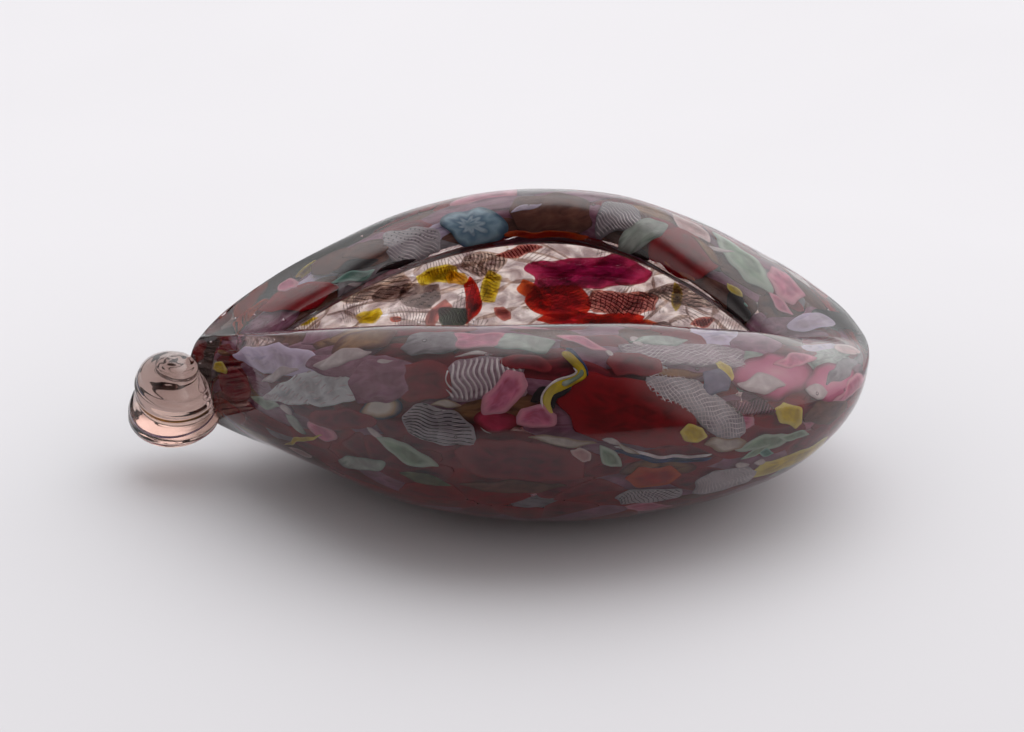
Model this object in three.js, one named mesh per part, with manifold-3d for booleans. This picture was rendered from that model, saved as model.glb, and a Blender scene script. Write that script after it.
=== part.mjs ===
// Art glass bowl: a thick cased shell folded up on two sides, with one end pulled out and coiled.
// Slices of patterned cane and coloured sheet glass are held between an inner gather and a clear casing.
// Millimetres, +Z up, +X along the bowl away from the coil, origin at the middle of the ground base.
import * as THREE from "three";
import { mergeVertices } from "three/addons/utils/BufferGeometryUtils.js";
import Module from "manifold-3d";

const wasm = await Module();
wasm.setup();

// ---- Driving dimensions of the wall ----
// The section of the wall runs from the base through three rings: where it is widest, the crest of
// the fold, and the lip, which the fold has rolled inwards. Each ring has a reach to the right and to
// the left along X, a half width in Y, and a height at its right end, its left end and its sides.
const WALL = 8;
const OUTSIDE = {
  base: { long: 45, half: 28, height: 0 },
  widest: { right: 131, left: 150, half: 101, rightHeight: 55, leftHeight: 34, sideHeight: 60 },
  crest: { right: 117, left: 142, half: 71, rightHeight: 58.5, leftHeight: 60, sideHeight: 95 },
  lip: { right: 90, left: 120, half: 56, rightHeight: 56, leftHeight: 59, sideHeight: 79 },
};
const INSIDE = {
  base: { long: 45, half: 28, height: WALL },
  widest: { right: 123, left: 132, half: 93, rightHeight: 47, leftHeight: 36, sideHeight: 60 },
  crest: { right: 115, left: 127, half: 71, rightHeight: 50.5, leftHeight: 52, sideHeight: 87 },
  lip: { right: 97, left: 121, half: 64, rightHeight: 48, leftHeight: 51, sideHeight: 79 },
};
const TAIL_PINCH = 1.6; // how sharply the widest ring is pinched towards the coil
const CREST_PINCH = 1.75;
const LIP_PINCH = 2.4;
const CREST_RISE = 1.8; // how fast the crest climbs from its ends to its sides
const END_ROUNDING = 0.18; // how blunt the two ends of the crest and of the mouth are

// ---- Layers of the wall, as depths below the outer face ----
const CASING_DEPTH = 3.2;
const INLAY_TOP = 3.5;
const INLAY_BOTTOM = 4.7;
const GATHER_DEPTH = 5.0;
const LIP_NOSE = 3; // how far the rounded edge stands beyond the rolled lip
const GATHER_END = 3.72; // the level where the inner gather stops, short of the lip
const CASING_HOOK = 3.76; // the level where the casing turns in over the edge of the gather

// ---- Facets ----
const AROUND_STEPS = 48;
const LEVEL_STEPS = [1, 5, 4, 5]; // base, lower wall, upper wall, fold

// ---- Coil at the pulled end ----
const COIL = {
  centre: [-156.5, -4, 34],
  lean: 18, // degrees that the coil's axis leans towards -Y
  turns: 1.97,
  pitch: 11.8,
  topRing: 8,
  lowRing: 9.6,
  topHalfWidth: 7.4,
  lowHalfWidth: 9,
  topHalfHeight: 5.1,
  lowHalfHeight: 5.6,
  steps: 40,
  sides: 10,
};
const THREAD = { radius: 0.9, turns: 0.72, start: 1.13, steps: 22, sides: 6 };
const GAP = 0.35; // left between two pieces that touch

const mix = (a, b, share) => a + (b - a) * share;

// How far across the bowl a ring reaches, from 0 at its two ends to 1 at its sides.
function pinched(sine, power, rounding) {
  const across = Math.abs(sine);
  return Math.sign(sine) * mix(across ** power, across, rounding);
}

// One dimension of a ring at a depth below the outer face.
function sized(ring, name, depth) {
  return mix(OUTSIDE[ring][name], INSIDE[ring][name], depth / WALL);
}

// A point of one ring, for an angle around the bowl and a depth below the outer face.
function ringPoint(ring, angle, depth) {
  const cosine = Math.cos(angle);
  const sine = Math.sin(angle);
  if (ring === "base") {
    const long = sized("base", "long", depth);
    const half = sized("base", "half", depth);
    return [long * cosine, half * sine, sized("base", "height", depth)];
  }
  const right = cosine > 0;
  const reach = sized(ring, right ? "right" : "left", depth);
  const endHeight = sized(ring, right ? "rightHeight" : "leftHeight", depth);
  const half = sized(ring, "half", depth);
  const powers = {
    widest: right ? 1 : 1 + TAIL_PINCH * Math.abs(cosine),
    crest: CREST_PINCH,
    lip: LIP_PINCH,
  };
  const across = pinched(sine, powers[ring], ring === "widest" ? 0 : END_ROUNDING);
  const rise = Math.abs(sine) ** (ring === "crest" ? CREST_RISE : 2);
  const height = mix(endHeight, sized(ring, "sideHeight", depth), rise);
  return [reach * cosine, half * across, height];
}

// A point of the wall. Level 0 is the middle of the base, 1 its edge, 2 the widest ring, 3 the crest
// and 4 the lip; between rings the section is a quarter of an ellipse.
function wallPoint(angle, level, depth) {
  const edge = ringPoint("base", angle, depth);
  if (level <= 1) return [edge[0] * level, edge[1] * level, edge[2]];
  const rings = ["base", "widest", "crest", "lip"];
  const stretch = Math.min(Math.ceil(level) - 2, 2);
  const from = ringPoint(rings[stretch], angle, depth);
  const to = ringPoint(rings[stretch + 1], angle, depth);
  const turn = (level - 1 - stretch) * (Math.PI / 2);
  const sine = Math.sin(turn);
  const cosine = Math.cos(turn);
  const upright = stretch === 1;
  const planShare = upright ? 1 - cosine : sine;
  const heightShare = upright ? sine : 1 - cosine;
  return [
    mix(from[0], to[0], planShare),
    mix(from[1], to[1], planShare),
    mix(from[2], to[2], heightShare),
  ];
}

// Levels from the middle of the base up to a last level.
function levelsUpTo(last) {
  const levels = [];
  LEVEL_STEPS.forEach((steps, stretch) => {
    for (let i = 1; i <= steps; i += 1) levels.push(stretch + i / steps);
  });
  return levels.filter((level) => level < last - 0.01).concat(last);
}

// ---- Solids ----
function solidFrom(positions, triangles) {
  return new wasm.Manifold(
    new wasm.Mesh({
      numProp: 3,
      vertProperties: new Float32Array(positions.flat()),
      triVerts: new Uint32Array(triangles.flat()),
    }),
  );
}

function geometryFrom(solid) {
  const mesh = solid.getMesh();
  const geometry = new THREE.BufferGeometry();
  geometry.setAttribute("position", new THREE.BufferAttribute(mesh.vertProperties, 3));
  geometry.setIndex(new THREE.BufferAttribute(mesh.triVerts, 1));
  return geometry;
}

function solidOf(geometry) {
  const bare = geometry.clone();
  bare.deleteAttribute("normal");
  bare.deleteAttribute("uv");
  const merged = mergeVertices(bare, 1e-4);
  const mesh = new wasm.Mesh({
    numProp: 3,
    vertProperties: merged.attributes.position.array,
    triVerts: new Uint32Array(merged.index.array),
  });
  return new wasm.Manifold(mesh);
}

// A solid swept round the bowl: row after row of points, from a pole on the outer face of the base,
// out over the section and back to a pole on the inner face.
function sweptRound(rowPoint, rows) {
  const positions = [rowPoint(0, 0)];
  for (let row = 1; row < rows - 1; row += 1) {
    for (let step = 0; step < AROUND_STEPS; step += 1) {
      positions.push(rowPoint(row, (step / AROUND_STEPS) * 2 * Math.PI));
    }
  }
  positions.push(rowPoint(rows - 1, 0));
  const last = positions.length - 1;
  const at = (row, step) => 1 + (row - 1) * AROUND_STEPS + (step % AROUND_STEPS);
  const triangles = [];
  for (let step = 0; step < AROUND_STEPS; step += 1) {
    triangles.push([0, at(1, step + 1), at(1, step)]);
    for (let row = 1; row < rows - 2; row += 1) {
      triangles.push([at(row, step), at(row, step + 1), at(row + 1, step + 1)]);
      triangles.push([at(row, step), at(row + 1, step + 1), at(row + 1, step)]);
    }
    triangles.push([last, at(rows - 2, step), at(rows - 2, step + 1)]);
  }
  return solidFrom(positions, triangles);
}

// A layer of the wall between two depths, from the base up to a last level.
function layerSolid(top, bottom, last) {
  const levels = [0].concat(levelsUpTo(last));
  const profile = levels.map((level) => [level, top]);
  levels.reverse().forEach((level) => profile.push([level, bottom]));
  return sweptRound((row, angle) => wallPoint(angle, ...profile[row]), profile.length);
}

// The clear outer casing, whose rounded edge hooks in over the ends of the layers below it.
function casingSolid() {
  const nose = (angle) => {
    const outer = wallPoint(angle, 4, 0);
    const inner = wallPoint(angle, 4, WALL);
    return [0, 1].map((i) => mix(outer[i], inner[i], 0.5)).concat(Math.min(outer[2], inner[2]) - LIP_NOSE);
  };
  const outward = [0].concat(levelsUpTo(4));
  const homeward = [0].concat(levelsUpTo(CASING_HOOK)).reverse();
  const rows = outward.map((level) => (angle) => wallPoint(angle, level, 0));
  rows.push(nose);
  rows.push((angle) => wallPoint(angle, 4, WALL));
  rows.push((angle) => wallPoint(angle, CASING_HOOK, WALL));
  homeward.forEach((level) => rows.push((angle) => wallPoint(angle, level, CASING_DEPTH)));
  return sweptRound((row, angle) => rows[row](angle), rows.length);
}

// ---- Inlaid pieces ----
// Outlines lie in a plane that touches the wall, u along the piece and v across it, both from -1 to 1.
const OUTLINES = {
  oval: () => ringOf(14, (a) => [Math.cos(a), Math.sin(a)]),
  pebble: () => ringOf(12, (a) => [Math.cos(a) * (1 - 0.12 * Math.sin(a)), Math.sin(a) * (1 + 0.16 * Math.cos(a))]),
  leaf: () => mirrored([[-1, 0], [-0.55, 0.62], [0, 1], [0.5, 0.74], [1, 0]]),
  fan: () => mirrored([[-1, 0], [-0.3, 0.6], [0.5, 1], [1, 0.72]]),
  shard: () => [[-1, -0.35], [-0.4, -1], [0.7, -0.8], [1, 0.1], [0.45, 1], [-0.7, 0.7]],
  panel: () => [[-0.75, -1], [0.2, -1], [1, -0.75], [0.95, 0.45], [0.4, 1], [-0.6, 0.95], [-1, 0.1]],
  ribbon: () => [[-1, -0.6], [-0.8, -1], [0.85, -1], [1, 0.6], [0.8, 1], [-0.85, 1]],
  wave: () => waveOutline(9),
};

function ringOf(count, place) {
  return Array.from({ length: count }, (_, i) => place((i / count) * 2 * Math.PI));
}

// The upper edge of an outline, from tip to tip, mirrored to make its lower edge.
function mirrored(upper) {
  const lower = upper.filter(([, v]) => v > 0).map(([u, v]) => [u, -v]);
  return lower.concat(upper.toReversed());
}

// A cane bent to and fro, as thick as half the piece's width.
function waveOutline(steps) {
  const edge = (side) =>
    Array.from({ length: steps }, (_, i) => {
      const u = -1 + (2 * i) / (steps - 1);
      return [u, 0.5 * Math.sin(Math.PI * 1.4 * u) + 0.42 * side];
    });
  return edge(-1).concat(edge(1).reverse());
}

// Each piece: its name, outline, place (degrees around the bowl from +X, and level), length, width,
// turn in degrees from the direction around the bowl, and colour. A front piece is at a minus angle.
const INLAYS = [
  // Front wall, from the coil to the round end
  ["ruby_tip", "pebble", -154, 2.1, 24, 14, 0, 0x6a0f1c],
  ["pale_blue_fan", "fan", -132.5, 2.25, 70, 16, 14, 0xb9c8d2],
  ["lavender_sheet", "leaf", -140, 2.52, 70, 12, 0, 0xa394b5],
  ["green_tip", "leaf", -143, 2.02, 22, 5, 0, 0x7fa48c],
  ["rose_fleck", "oval", -129, 1.94, 17, 7, -5, 0xb9566b],
  ["amber_streak", "ribbon", -122, 2.88, 26, 10, 12, 0x9a6b45],
  ["cream_eye_slice", "oval", -117.5, 2.22, 20, 9, 10, 0xd8d2c4],
  ["green_leaf_shard", "leaf", -113, 1.92, 28, 9, -21, 0x6f9b80],
  ["grey_sheet", "shard", -109.5, 2.86, 28, 12, 0, 0x8d8b92],
  ["striped_cane_slice", "panel", -108, 2.1, 31, 13, -9, 0xc9c4cc],
  ["herringbone_cane_slice", "panel", -101, 2.5, 33, 16, 0, 0xd6d2da],
  ["rose_streak", "ribbon", -102, 2.88, 25, 8, 0, 0xb06a80],
  ["rose_shard", "shard", -97.5, 2.38, 22, 11, 40, 0xd0607c],
  ["white_rose_chip", "pebble", -99, 2.16, 17, 8, 3, 0xe3c6ce],
  ["garnet_panel", "panel", -96, 1.9, 50, 18, -6, 0x5c1018],
  ["pale_blue_streak", "ribbon", -95, 2.85, 24, 8, -8, 0x9fb7bd],
  ["pink_shard", "shard", -92.5, 2.2, 16, 9, 7, 0xd4718c],
  ["wave_cane", "wave", -88.2, 2.46, 23, 14, -94, 0xc9b820],
  ["sage_chip", "leaf", -80.5, 1.92, 13, 7, -48, 0x8fb09a],
  ["ruby_panel", "panel", -77.5, 2.22, 55, 24, -9, 0x70040a],
  ["blue_line_cane", "leaf", -71, 1.92, 40, 4, -10, 0xc7cfe0],
  ["orange_shard", "shard", -72, 1.8, 22, 12, -8, 0xa63c1d],
  ["net_cane_ribbon", "ribbon", -65.5, 2.24, 50, 12, -31, 0xcdb9c6],
  ["yellow_chip", "shard", -66, 2.02, 11, 7, -18, 0xd8bb1e],
  ["net_cane_sheet", "ribbon", -66, 2.74, 58, 10, 0, 0xb9a9b6],
  ["low_lattice_slice", "panel", -72, 1.66, 27, 11, -2, 0xb4aeb6],
  ["lattice_slice", "panel", -56, 1.7, 29, 16, -6, 0xb3a6ac],
  ["green_chip", "leaf", -50, 1.9, 30, 8, 0, 0x7b9c79],
  ["pink_eye_slice", "pebble", -47, 2.52, 44, 18, 4, 0xd97f9f],
  ["yellow_shard", "shard", -45, 2.04, 17, 8, -34, 0xcfae1c],
  ["amber_edge_shard", "ribbon", -39, 1.72, 42, 11, 4, 0xb79a2c],
  ["pink_slice", "pebble", -30, 2.3, 38, 14, -2, 0xd6749a],
  // Back wall
  ["yellow_green_chip", "shard", 125.5, 1.84, 15, 7, -164, 0x9ea03a],
  ["white_filigree_slice", "fan", 126, 2.05, 48, 16, -167, 0xd9d4d2],
  ["grey_lattice_slice", "panel", 115, 1.84, 21, 12, -167, 0x8c8784],
  ["yellow_lattice_slice", "shard", 111, 1.92, 23, 9, -172, 0xd9c21b],
  ["green_lattice_slice", "panel", 109.5, 1.68, 15, 9, -174, 0x2f4a34],
  ["red_shard", "shard", 106, 1.75, 22, 8, -80, 0xb01320],
  ["white_lattice_slice", "pebble", 102, 1.94, 22, 12, -176, 0xe0dbdb],
  ["yellow_net_slice", "ribbon", 101, 1.8, 15, 8, -70, 0xd8c02a],
  ["scarlet_panel", "panel", 80, 1.62, 50, 7, 176, 0xa5171b],
  ["magenta_panel", "ribbon", 82, 1.87, 55, 15, 170, 0x8d0f38],
  ["rose_lattice_slice", "panel", 74, 1.72, 34, 11, 177, 0xb9707a],
  ["cream_lattice_slice", "fan", 60, 1.82, 48, 15, 168, 0xd9d0c0],
  // Fold at the back
  ["crimson_fold_shard", "leaf", 147, 3.4, 38, 12, 160, 0x7c0f1d],
  ["brick_fold_shard", "ribbon", 131.5, 3.25, 36, 11, 165, 0x8a4a3a],
  ["net_fold_slice", "panel", 118.5, 3.52, 26, 14, 170, 0x9c9898],
  ["blue_flower_slice", "oval", 106, 3.52, 27, 16, 176, 0x7fa2b4],
  ["mauve_fold_sheet", "panel", 90.5, 3.45, 36, 18, 183, 0x705055],
  ["dark_lattice_slice", "panel", 74, 3.3, 20, 15, 200, 0x6f6a66],
  ["sage_fold_shard", "shard", 66.8, 3.5, 22, 12, 222, 0x8aa79a],
  ["ruby_fold_panel", "panel", 55.5, 3.45, 31, 18, 174, 0x7d0a12],
  ["green_fold_shard", "leaf", 45.5, 2.98, 44, 14, 162, 0x6f9a80],
  ["pink_fold_shard", "shard", 33, 2.9, 26, 14, 150, 0xc96f80],
];
const CUT_REACH = 7; // how far an outline's prism reaches to each side of the wall's face

// The plane that touches the layer at a piece's place, as a matrix from piece to bowl.
function touchingPlane(degrees, level, turn) {
  const angle = THREE.MathUtils.degToRad(degrees);
  const depth = (INLAY_TOP + INLAY_BOTTOM) / 2;
  const small = 0.01;
  const place = (a, l) => new THREE.Vector3(...wallPoint(a, l, depth));
  const around = place(angle + small, level).sub(place(angle - small, level)).normalize();
  const upward = place(angle, level + small).sub(place(angle, level - small));
  const outward = new THREE.Vector3().crossVectors(around, upward).normalize();
  upward.crossVectors(outward, around);
  const basis = new THREE.Matrix4().makeBasis(around, upward, outward);
  basis.multiply(new THREE.Matrix4().makeRotationZ(THREE.MathUtils.degToRad(turn)));
  return basis.setPosition(place(angle, level));
}

// The prism that cuts a piece from its layer, grown by a margin all round.
function inlayPrism([, outline, degrees, level, length, width, turn], margin) {
  const half = [length / 2 + margin, width / 2 + margin];
  const points = OUTLINES[outline]().map(([u, v]) => new THREE.Vector2(u * half[0], v * half[1]));
  const prism = new THREE.ExtrudeGeometry(new THREE.Shape(points), {
    depth: 2 * CUT_REACH,
    bevelEnabled: false,
  });
  prism.translate(0, 0, -CUT_REACH);
  return solidOf(prism.applyMatrix4(touchingPlane(degrees, level, turn)));
}

const largestBody = (solid) =>
  solid.decompose().reduce((best, body) => (body.volume() > best.volume() ? body : best));

// Every piece cut from one thin layer, each clear of the pieces before it.
function inlaySolids() {
  const layer = layerSolid(INLAY_TOP, INLAY_BOTTOM, GATHER_END);
  const taken = [];
  return INLAYS.map((inlay) => {
    let piece = layer.intersect(inlayPrism(inlay, 0));
    taken.forEach((prism) => {
      piece = piece.subtract(prism);
    });
    taken.push(inlayPrism(inlay, GAP));
    return largestBody(piece);
  });
}

// ---- Coil ----
// A point on the section of the coiled rope, in the coil's own frame: turns is how far along the rope,
// share and lift place it across the section.
function coilPoint(turns, acrossShare, liftShare) {
  const share = turns / COIL.turns;
  const ring = mix(COIL.topRing, COIL.lowRing, share);
  const halfWidth = mix(COIL.topHalfWidth, COIL.lowHalfWidth, share);
  const halfHeight = mix(COIL.topHalfHeight, COIL.lowHalfHeight, share);
  const radius = ring + acrossShare * halfWidth;
  const angle = turns * 2 * Math.PI;
  const middle = (COIL.turns / 2 - turns) * COIL.pitch;
  return [radius * Math.cos(angle), radius * Math.sin(angle), middle + liftShare * halfHeight];
}

// A closed sweep: rings of points joined into a tube with flat ends.
function sweptTube(steps, sides, place) {
  const positions = [];
  for (let step = 0; step <= steps; step += 1) {
    for (let side = 0; side < sides; side += 1) {
      positions.push(place(step / steps, (side / sides) * 2 * Math.PI));
    }
  }
  const at = (step, side) => step * sides + (side % sides);
  const triangles = [];
  for (let side = 0; side < sides; side += 1) {
    for (let step = 0; step < steps; step += 1) {
      triangles.push([at(step, side), at(step + 1, side + 1), at(step, side + 1)]);
      triangles.push([at(step, side), at(step + 1, side), at(step + 1, side + 1)]);
    }
    if (side > 1) {
      triangles.push([at(0, 0), at(0, side - 1), at(0, side)]);
      triangles.push([at(steps, 0), at(steps, side), at(steps, side - 1)]);
    }
  }
  const solid = solidFrom(positions, triangles);
  if (solid.volume() > 0) return solid;
  return solidFrom(positions, triangles.map(([a, b, c]) => [a, c, b]));
}

const placedCoil = (solid) => solid.rotate([COIL.lean, 0, 0]).translate(COIL.centre);

// The rope of the pulled tail, coiled twice and hollowed where it takes the bowl's tip.
function coilSolid() {
  const rope = sweptTube(COIL.steps, COIL.sides, (share, angle) =>
    coilPoint(share * COIL.turns, Math.cos(angle), Math.sin(angle)),
  );
  const tip = layerSolid(-GAP, WALL, 4);
  return largestBody(placedCoil(rope).subtract(tip));
}

// The ochre thread that lies in the groove between the two turns.
function threadSolid() {
  const groove = 0.84;
  const thread = sweptTube(THREAD.steps, THREAD.sides, (share, angle) => {
    const turns = THREAD.start + share * THREAD.turns;
    const [x, y, z] = coilPoint(turns, groove, 0);
    const above = coilPoint(turns - 1, groove, 0);
    const radius = Math.hypot(x, y) + THREAD.radius * Math.cos(angle);
    const heading = turns * 2 * Math.PI;
    const height = (z + above[2]) / 2 + THREAD.radius * Math.sin(angle);
    return [radius * Math.cos(heading), radius * Math.sin(heading), height];
  });
  return placedCoil(thread);
}

// ---- Assembly ----
function glass(colour, roughness) {
  return new THREE.MeshStandardMaterial({ color: colour, roughness, metalness: 0 });
}

const bowl = new THREE.Group();
bowl.name = "art_glass_bowl";

function add(name, solid, colour, roughness = 0.08) {
  const mesh = new THREE.Mesh(geometryFrom(solid), glass(colour, roughness));
  mesh.name = name;
  bowl.add(mesh);
}

add("outer_casing", casingSolid(), 0xb9a4ae, 0.03);
add("inner_gather", layerSolid(GATHER_DEPTH, WALL, GATHER_END), 0xcdbcc0, 0.03);
add("tail_coil", coilSolid(), 0xc9aaa4, 0.03);
add("coil_thread", threadSolid(), 0xa98a35);
inlaySolids().forEach((solid, i) => add(INLAYS[i][0], solid, INLAYS[i][7]));

export default bowl;
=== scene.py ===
"""Art glass bowl: its clear wall, inlaid slices and shards, and coiled tail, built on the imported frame."""
import math
import random

import bmesh
import bpy
import numpy as np
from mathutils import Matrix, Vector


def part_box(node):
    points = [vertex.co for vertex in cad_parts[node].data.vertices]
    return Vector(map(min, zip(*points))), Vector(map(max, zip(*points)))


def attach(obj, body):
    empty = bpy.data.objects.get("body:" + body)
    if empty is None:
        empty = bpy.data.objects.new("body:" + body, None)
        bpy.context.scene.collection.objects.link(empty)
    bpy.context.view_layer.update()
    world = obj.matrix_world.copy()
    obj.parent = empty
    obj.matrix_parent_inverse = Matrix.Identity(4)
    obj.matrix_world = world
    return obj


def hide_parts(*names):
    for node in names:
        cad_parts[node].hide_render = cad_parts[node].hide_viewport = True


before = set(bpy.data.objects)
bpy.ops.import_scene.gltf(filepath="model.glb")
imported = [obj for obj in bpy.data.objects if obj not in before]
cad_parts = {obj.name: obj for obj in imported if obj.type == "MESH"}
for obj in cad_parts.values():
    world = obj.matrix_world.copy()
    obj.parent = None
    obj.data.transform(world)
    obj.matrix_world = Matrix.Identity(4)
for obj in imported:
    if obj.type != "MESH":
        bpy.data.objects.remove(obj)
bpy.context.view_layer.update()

# ---- The bowl's own measures, as the CAD has them, in design millimetres ----
WALL = 8.0
# Each ring outside, then inside: reach to the right and to the left, half width, and the heights of its right
# end, left end and sides. The base is the same at both ends and level.
WALL_RINGS = {
    "base": ((45, 28, 0), (45, 28, WALL)),
    "widest": ((131, 150, 101, 55, 34, 60), (123, 132, 93, 47, 36, 60)),
    "crest": ((117, 142, 71, 58.5, 60, 95), (115, 127, 71, 50.5, 52, 87)),
    "lip": ((90, 120, 56, 56, 59, 79), (97, 121, 64, 48, 51, 79)),
}
TAIL_PINCH = 1.6
CREST_PINCH = 1.75
LIP_PINCH = 2.4
CREST_RISE = 1.8
END_ROUNDING = 0.18
LIP_NOSE = 3.0
INLAY_DEPTH = 4.1
GROUND_DEPTH = 6.0
WINDOW_DEPTH = 2.3  # the ground of the back wall lies outside its pieces, for it is seen from within
FLOW = 0.45  # how far the soft glass drags a piece out of true
WOBBLE = 0.08  # how uneven the outline of a piece is

# Metres for each design millimetre, from the casing's reach along +X.
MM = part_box("outer_casing")[1].x / WALL_RINGS["widest"][0][0]

COIL = {"centre": (-156.5, -4.0, 34.0), "lean": 18.0}


def mix(a, b, share):
    return a + (b - a) * share


def circle(count):
    return np.linspace(0, 2 * math.pi, count, endpoint=False)


def together(*values):
    """Grids of values as the coordinates of one grid."""
    return np.stack(np.broadcast_arrays(*values), -1)


# ---- The wall's surface ----
def pinched(sine, power, rounding):
    across = np.abs(sine)
    return np.sign(sine) * mix(across**power, across, rounding)


def ring_point(ring, angle, depth):
    """Points of one ring, for angles round the bowl and depths below the outer face."""
    outside, inside = WALL_RINGS[ring]
    sizes = [mix(outer, inner, depth / WALL) for outer, inner in zip(outside, inside)]
    cosine = np.cos(angle)
    sine = np.sin(angle)
    if ring == "base":
        long, half, height = sizes
        return np.stack([long * cosine, half * sine, height + 0 * cosine], -1)
    right_reach, left_reach, half, right_height, left_height, side_height = sizes
    right = cosine > 0
    reach = np.where(right, right_reach, left_reach)
    end_height = np.where(right, right_height, left_height)
    if ring == "widest":
        across = pinched(sine, np.where(right, 1, 1 + TAIL_PINCH * np.abs(cosine)), 0)
    else:
        across = pinched(sine, CREST_PINCH if ring == "crest" else LIP_PINCH, END_ROUNDING)
    rise = np.abs(sine) ** (CREST_RISE if ring == "crest" else 2)
    return np.stack([reach * cosine, half * across, mix(end_height, side_height, rise)], -1)


def wall_point(angle, level, depth):
    """Points of the wall: level 0 is the base's middle, 1 its edge, 2 the widest ring, 3 the crest, 4 lip."""
    angle, level, depth = np.broadcast_arrays(
        np.asarray(angle, float), np.asarray(level, float), np.asarray(depth, float)
    )
    rings = [ring_point(ring, angle, depth) for ring in WALL_RINGS]
    points = rings[0] * np.stack([level, level, np.ones_like(level)], -1)
    for stretch in range(3):
        turn = (level - 1 - stretch) * (math.pi / 2)
        upright = stretch == 1
        plan = 1 - np.cos(turn) if upright else np.sin(turn)
        height = np.sin(turn) if upright else 1 - np.cos(turn)
        share = np.stack([plan, plan, height], -1)
        here = (level > 1 + stretch)[..., None]
        points = np.where(here, mix(rings[stretch], rings[stretch + 1], share), points)
    return points


def unit(vectors):
    return vectors / (np.linalg.norm(vectors, axis=-1, keepdims=True) + 1e-12)


def wall_slopes(angle, level, depth, small=0.01):
    """How a point of the wall moves with the angle and with the level."""
    around = wall_point(angle + small, level, depth) - wall_point(angle - small, level, depth)
    upward = wall_point(angle, level + small, depth) - wall_point(angle, level - small, depth)
    return around / (2 * small), upward / (2 * small)


NEWTON_STEPS = 9


class Plane:
    """The plane that touches a layer of the wall at one place, for laying a piece out flat."""

    def __init__(self, degrees, level, turn, depth=INLAY_DEPTH):
        self.angle = math.radians(degrees)
        self.level = level
        self.depth = depth
        self.origin = wall_point(self.angle, level, depth)
        around, upward = wall_slopes(self.angle, level, depth)
        around = unit(around)
        self.outward = unit(np.cross(around, upward))
        upward = np.cross(self.outward, around)
        cosine = math.cos(math.radians(turn))
        sine = math.sin(math.radians(turn))
        self.along = cosine * around + sine * upward
        self.across = cosine * upward - sine * around

    def places(self, u, v):
        """The angle and level of the wall under flat places u, v, found by Newton's method."""
        flat = self.origin + u[..., None] * self.along + v[..., None] * self.across
        angle = np.full(u.shape, self.angle)
        level = np.full(u.shape, float(self.level))
        lift = np.zeros(u.shape)
        for _ in range(NEWTON_STEPS):
            miss = wall_point(angle, level, self.depth) - flat - lift[..., None] * self.outward
            around, upward = wall_slopes(angle, level, self.depth)
            slope = np.stack([around, upward, np.broadcast_to(-self.outward, around.shape)], -1)
            slope = slope + 1e-3 * np.eye(3)
            step = np.linalg.solve(slope, miss[..., None])[..., 0]
            angle = angle - np.clip(step[..., 0], -0.15, 0.15)
            level = np.clip(level - np.clip(step[..., 1], -0.3, 0.3), 0.05, 4.0)
            lift = lift - step[..., 2]
        return angle, level


# ---- Meshes ----
class Parts:
    """Vertices, faces and flat coordinates gathered for one mesh."""

    def __init__(self):
        self.points = []
        self.faces = []
        self.flat = []
        self.rim = []
        self.count = 0

    def add_rows(self, rows, flat, rim):
        """Rings of points, row after row; the first and the last row are single points repeated."""
        count, sides = rows.shape[:2]
        first = self.count
        self.points.append(np.concatenate([rows[0, :1], rows[1:-1].reshape(-1, 3), rows[-1, :1]]))
        self.flat.append(np.concatenate([flat[0, :1], flat[1:-1].reshape(-1, 2), flat[-1, :1]]))
        self.rim.append(np.concatenate([rim[0, :1], rim[1:-1].reshape(-1, 2), rim[-1, :1]]))
        total = 2 + (count - 2) * sides
        last = first + total - 1
        for side in range(sides):
            after = (side + 1) % sides
            self.faces.append((first, first + 1 + side, first + 1 + after))
            end = first + 1 + (count - 3) * sides
            self.faces.append((last, end + after, end + side))
        for row in range(count - 3):
            base = first + 1 + row * sides
            for side in range(sides):
                after = (side + 1) % sides
                self.faces.append((base + side, base + sides + side, base + sides + after, base + after))
        self.count += total


def turn_outward(mesh):
    """Turns a closed mesh's faces to look outwards."""
    work = bmesh.new()
    work.from_mesh(mesh)
    bmesh.ops.recalc_face_normals(work, faces=work.faces)
    work.to_mesh(mesh)
    work.free()


# ---- Outlines of the inlaid pieces, u along and v across, both from -1 to 1 ----
def polygon_reach(corners, turns):
    """How far a star-shaped outline reaches in each direction."""
    corners = np.array(corners, float)
    after = np.roll(corners, -1, 0)
    reach = np.full(turns.shape, 1e9)
    for (ax, ay), (bx, by) in zip(corners, after):
        ex, ey = bx - ax, by - ay
        dx, dy = np.cos(turns), np.sin(turns)
        cross = dx * ey - dy * ex
        safe = np.where(np.abs(cross) < 1e-9, 1e-9, cross)
        far = (ax * ey - ay * ex) / safe
        share = (ax * dy - ay * dx) / safe
        hit = (far > 0) & (share >= -1e-6) & (share <= 1 + 1e-6)
        reach = np.where(hit, np.minimum(reach, far), reach)
    return reach


def mirrored(upper):
    lower = [(u, -v) for u, v in upper if v > 0]
    return lower + upper[::-1]


CORNERS = {
    "leaf": mirrored([(-1, 0), (-0.55, 0.62), (0, 1), (0.5, 0.74), (1, 0)]),
    "fan": mirrored([(-1, 0), (-0.3, 0.6), (0.5, 1), (1, 0.72)]),
    "shard": [(-1, -0.35), (-0.4, -1), (0.7, -0.8), (1, 0.1), (0.45, 1), (-0.7, 0.7)],
    "panel": [(-0.75, -1), (0.2, -1), (1, -0.75), (0.95, 0.45), (0.4, 1), (-0.6, 0.95), (-1, 0.1)],
    "ribbon": [(-1, -0.6), (-0.8, -1), (0.85, -1), (1, 0.6), (0.8, 1), (-0.85, 1)],
}


SOFT_CORNER = 14  # half degrees to each side that a corner is softened over


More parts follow.
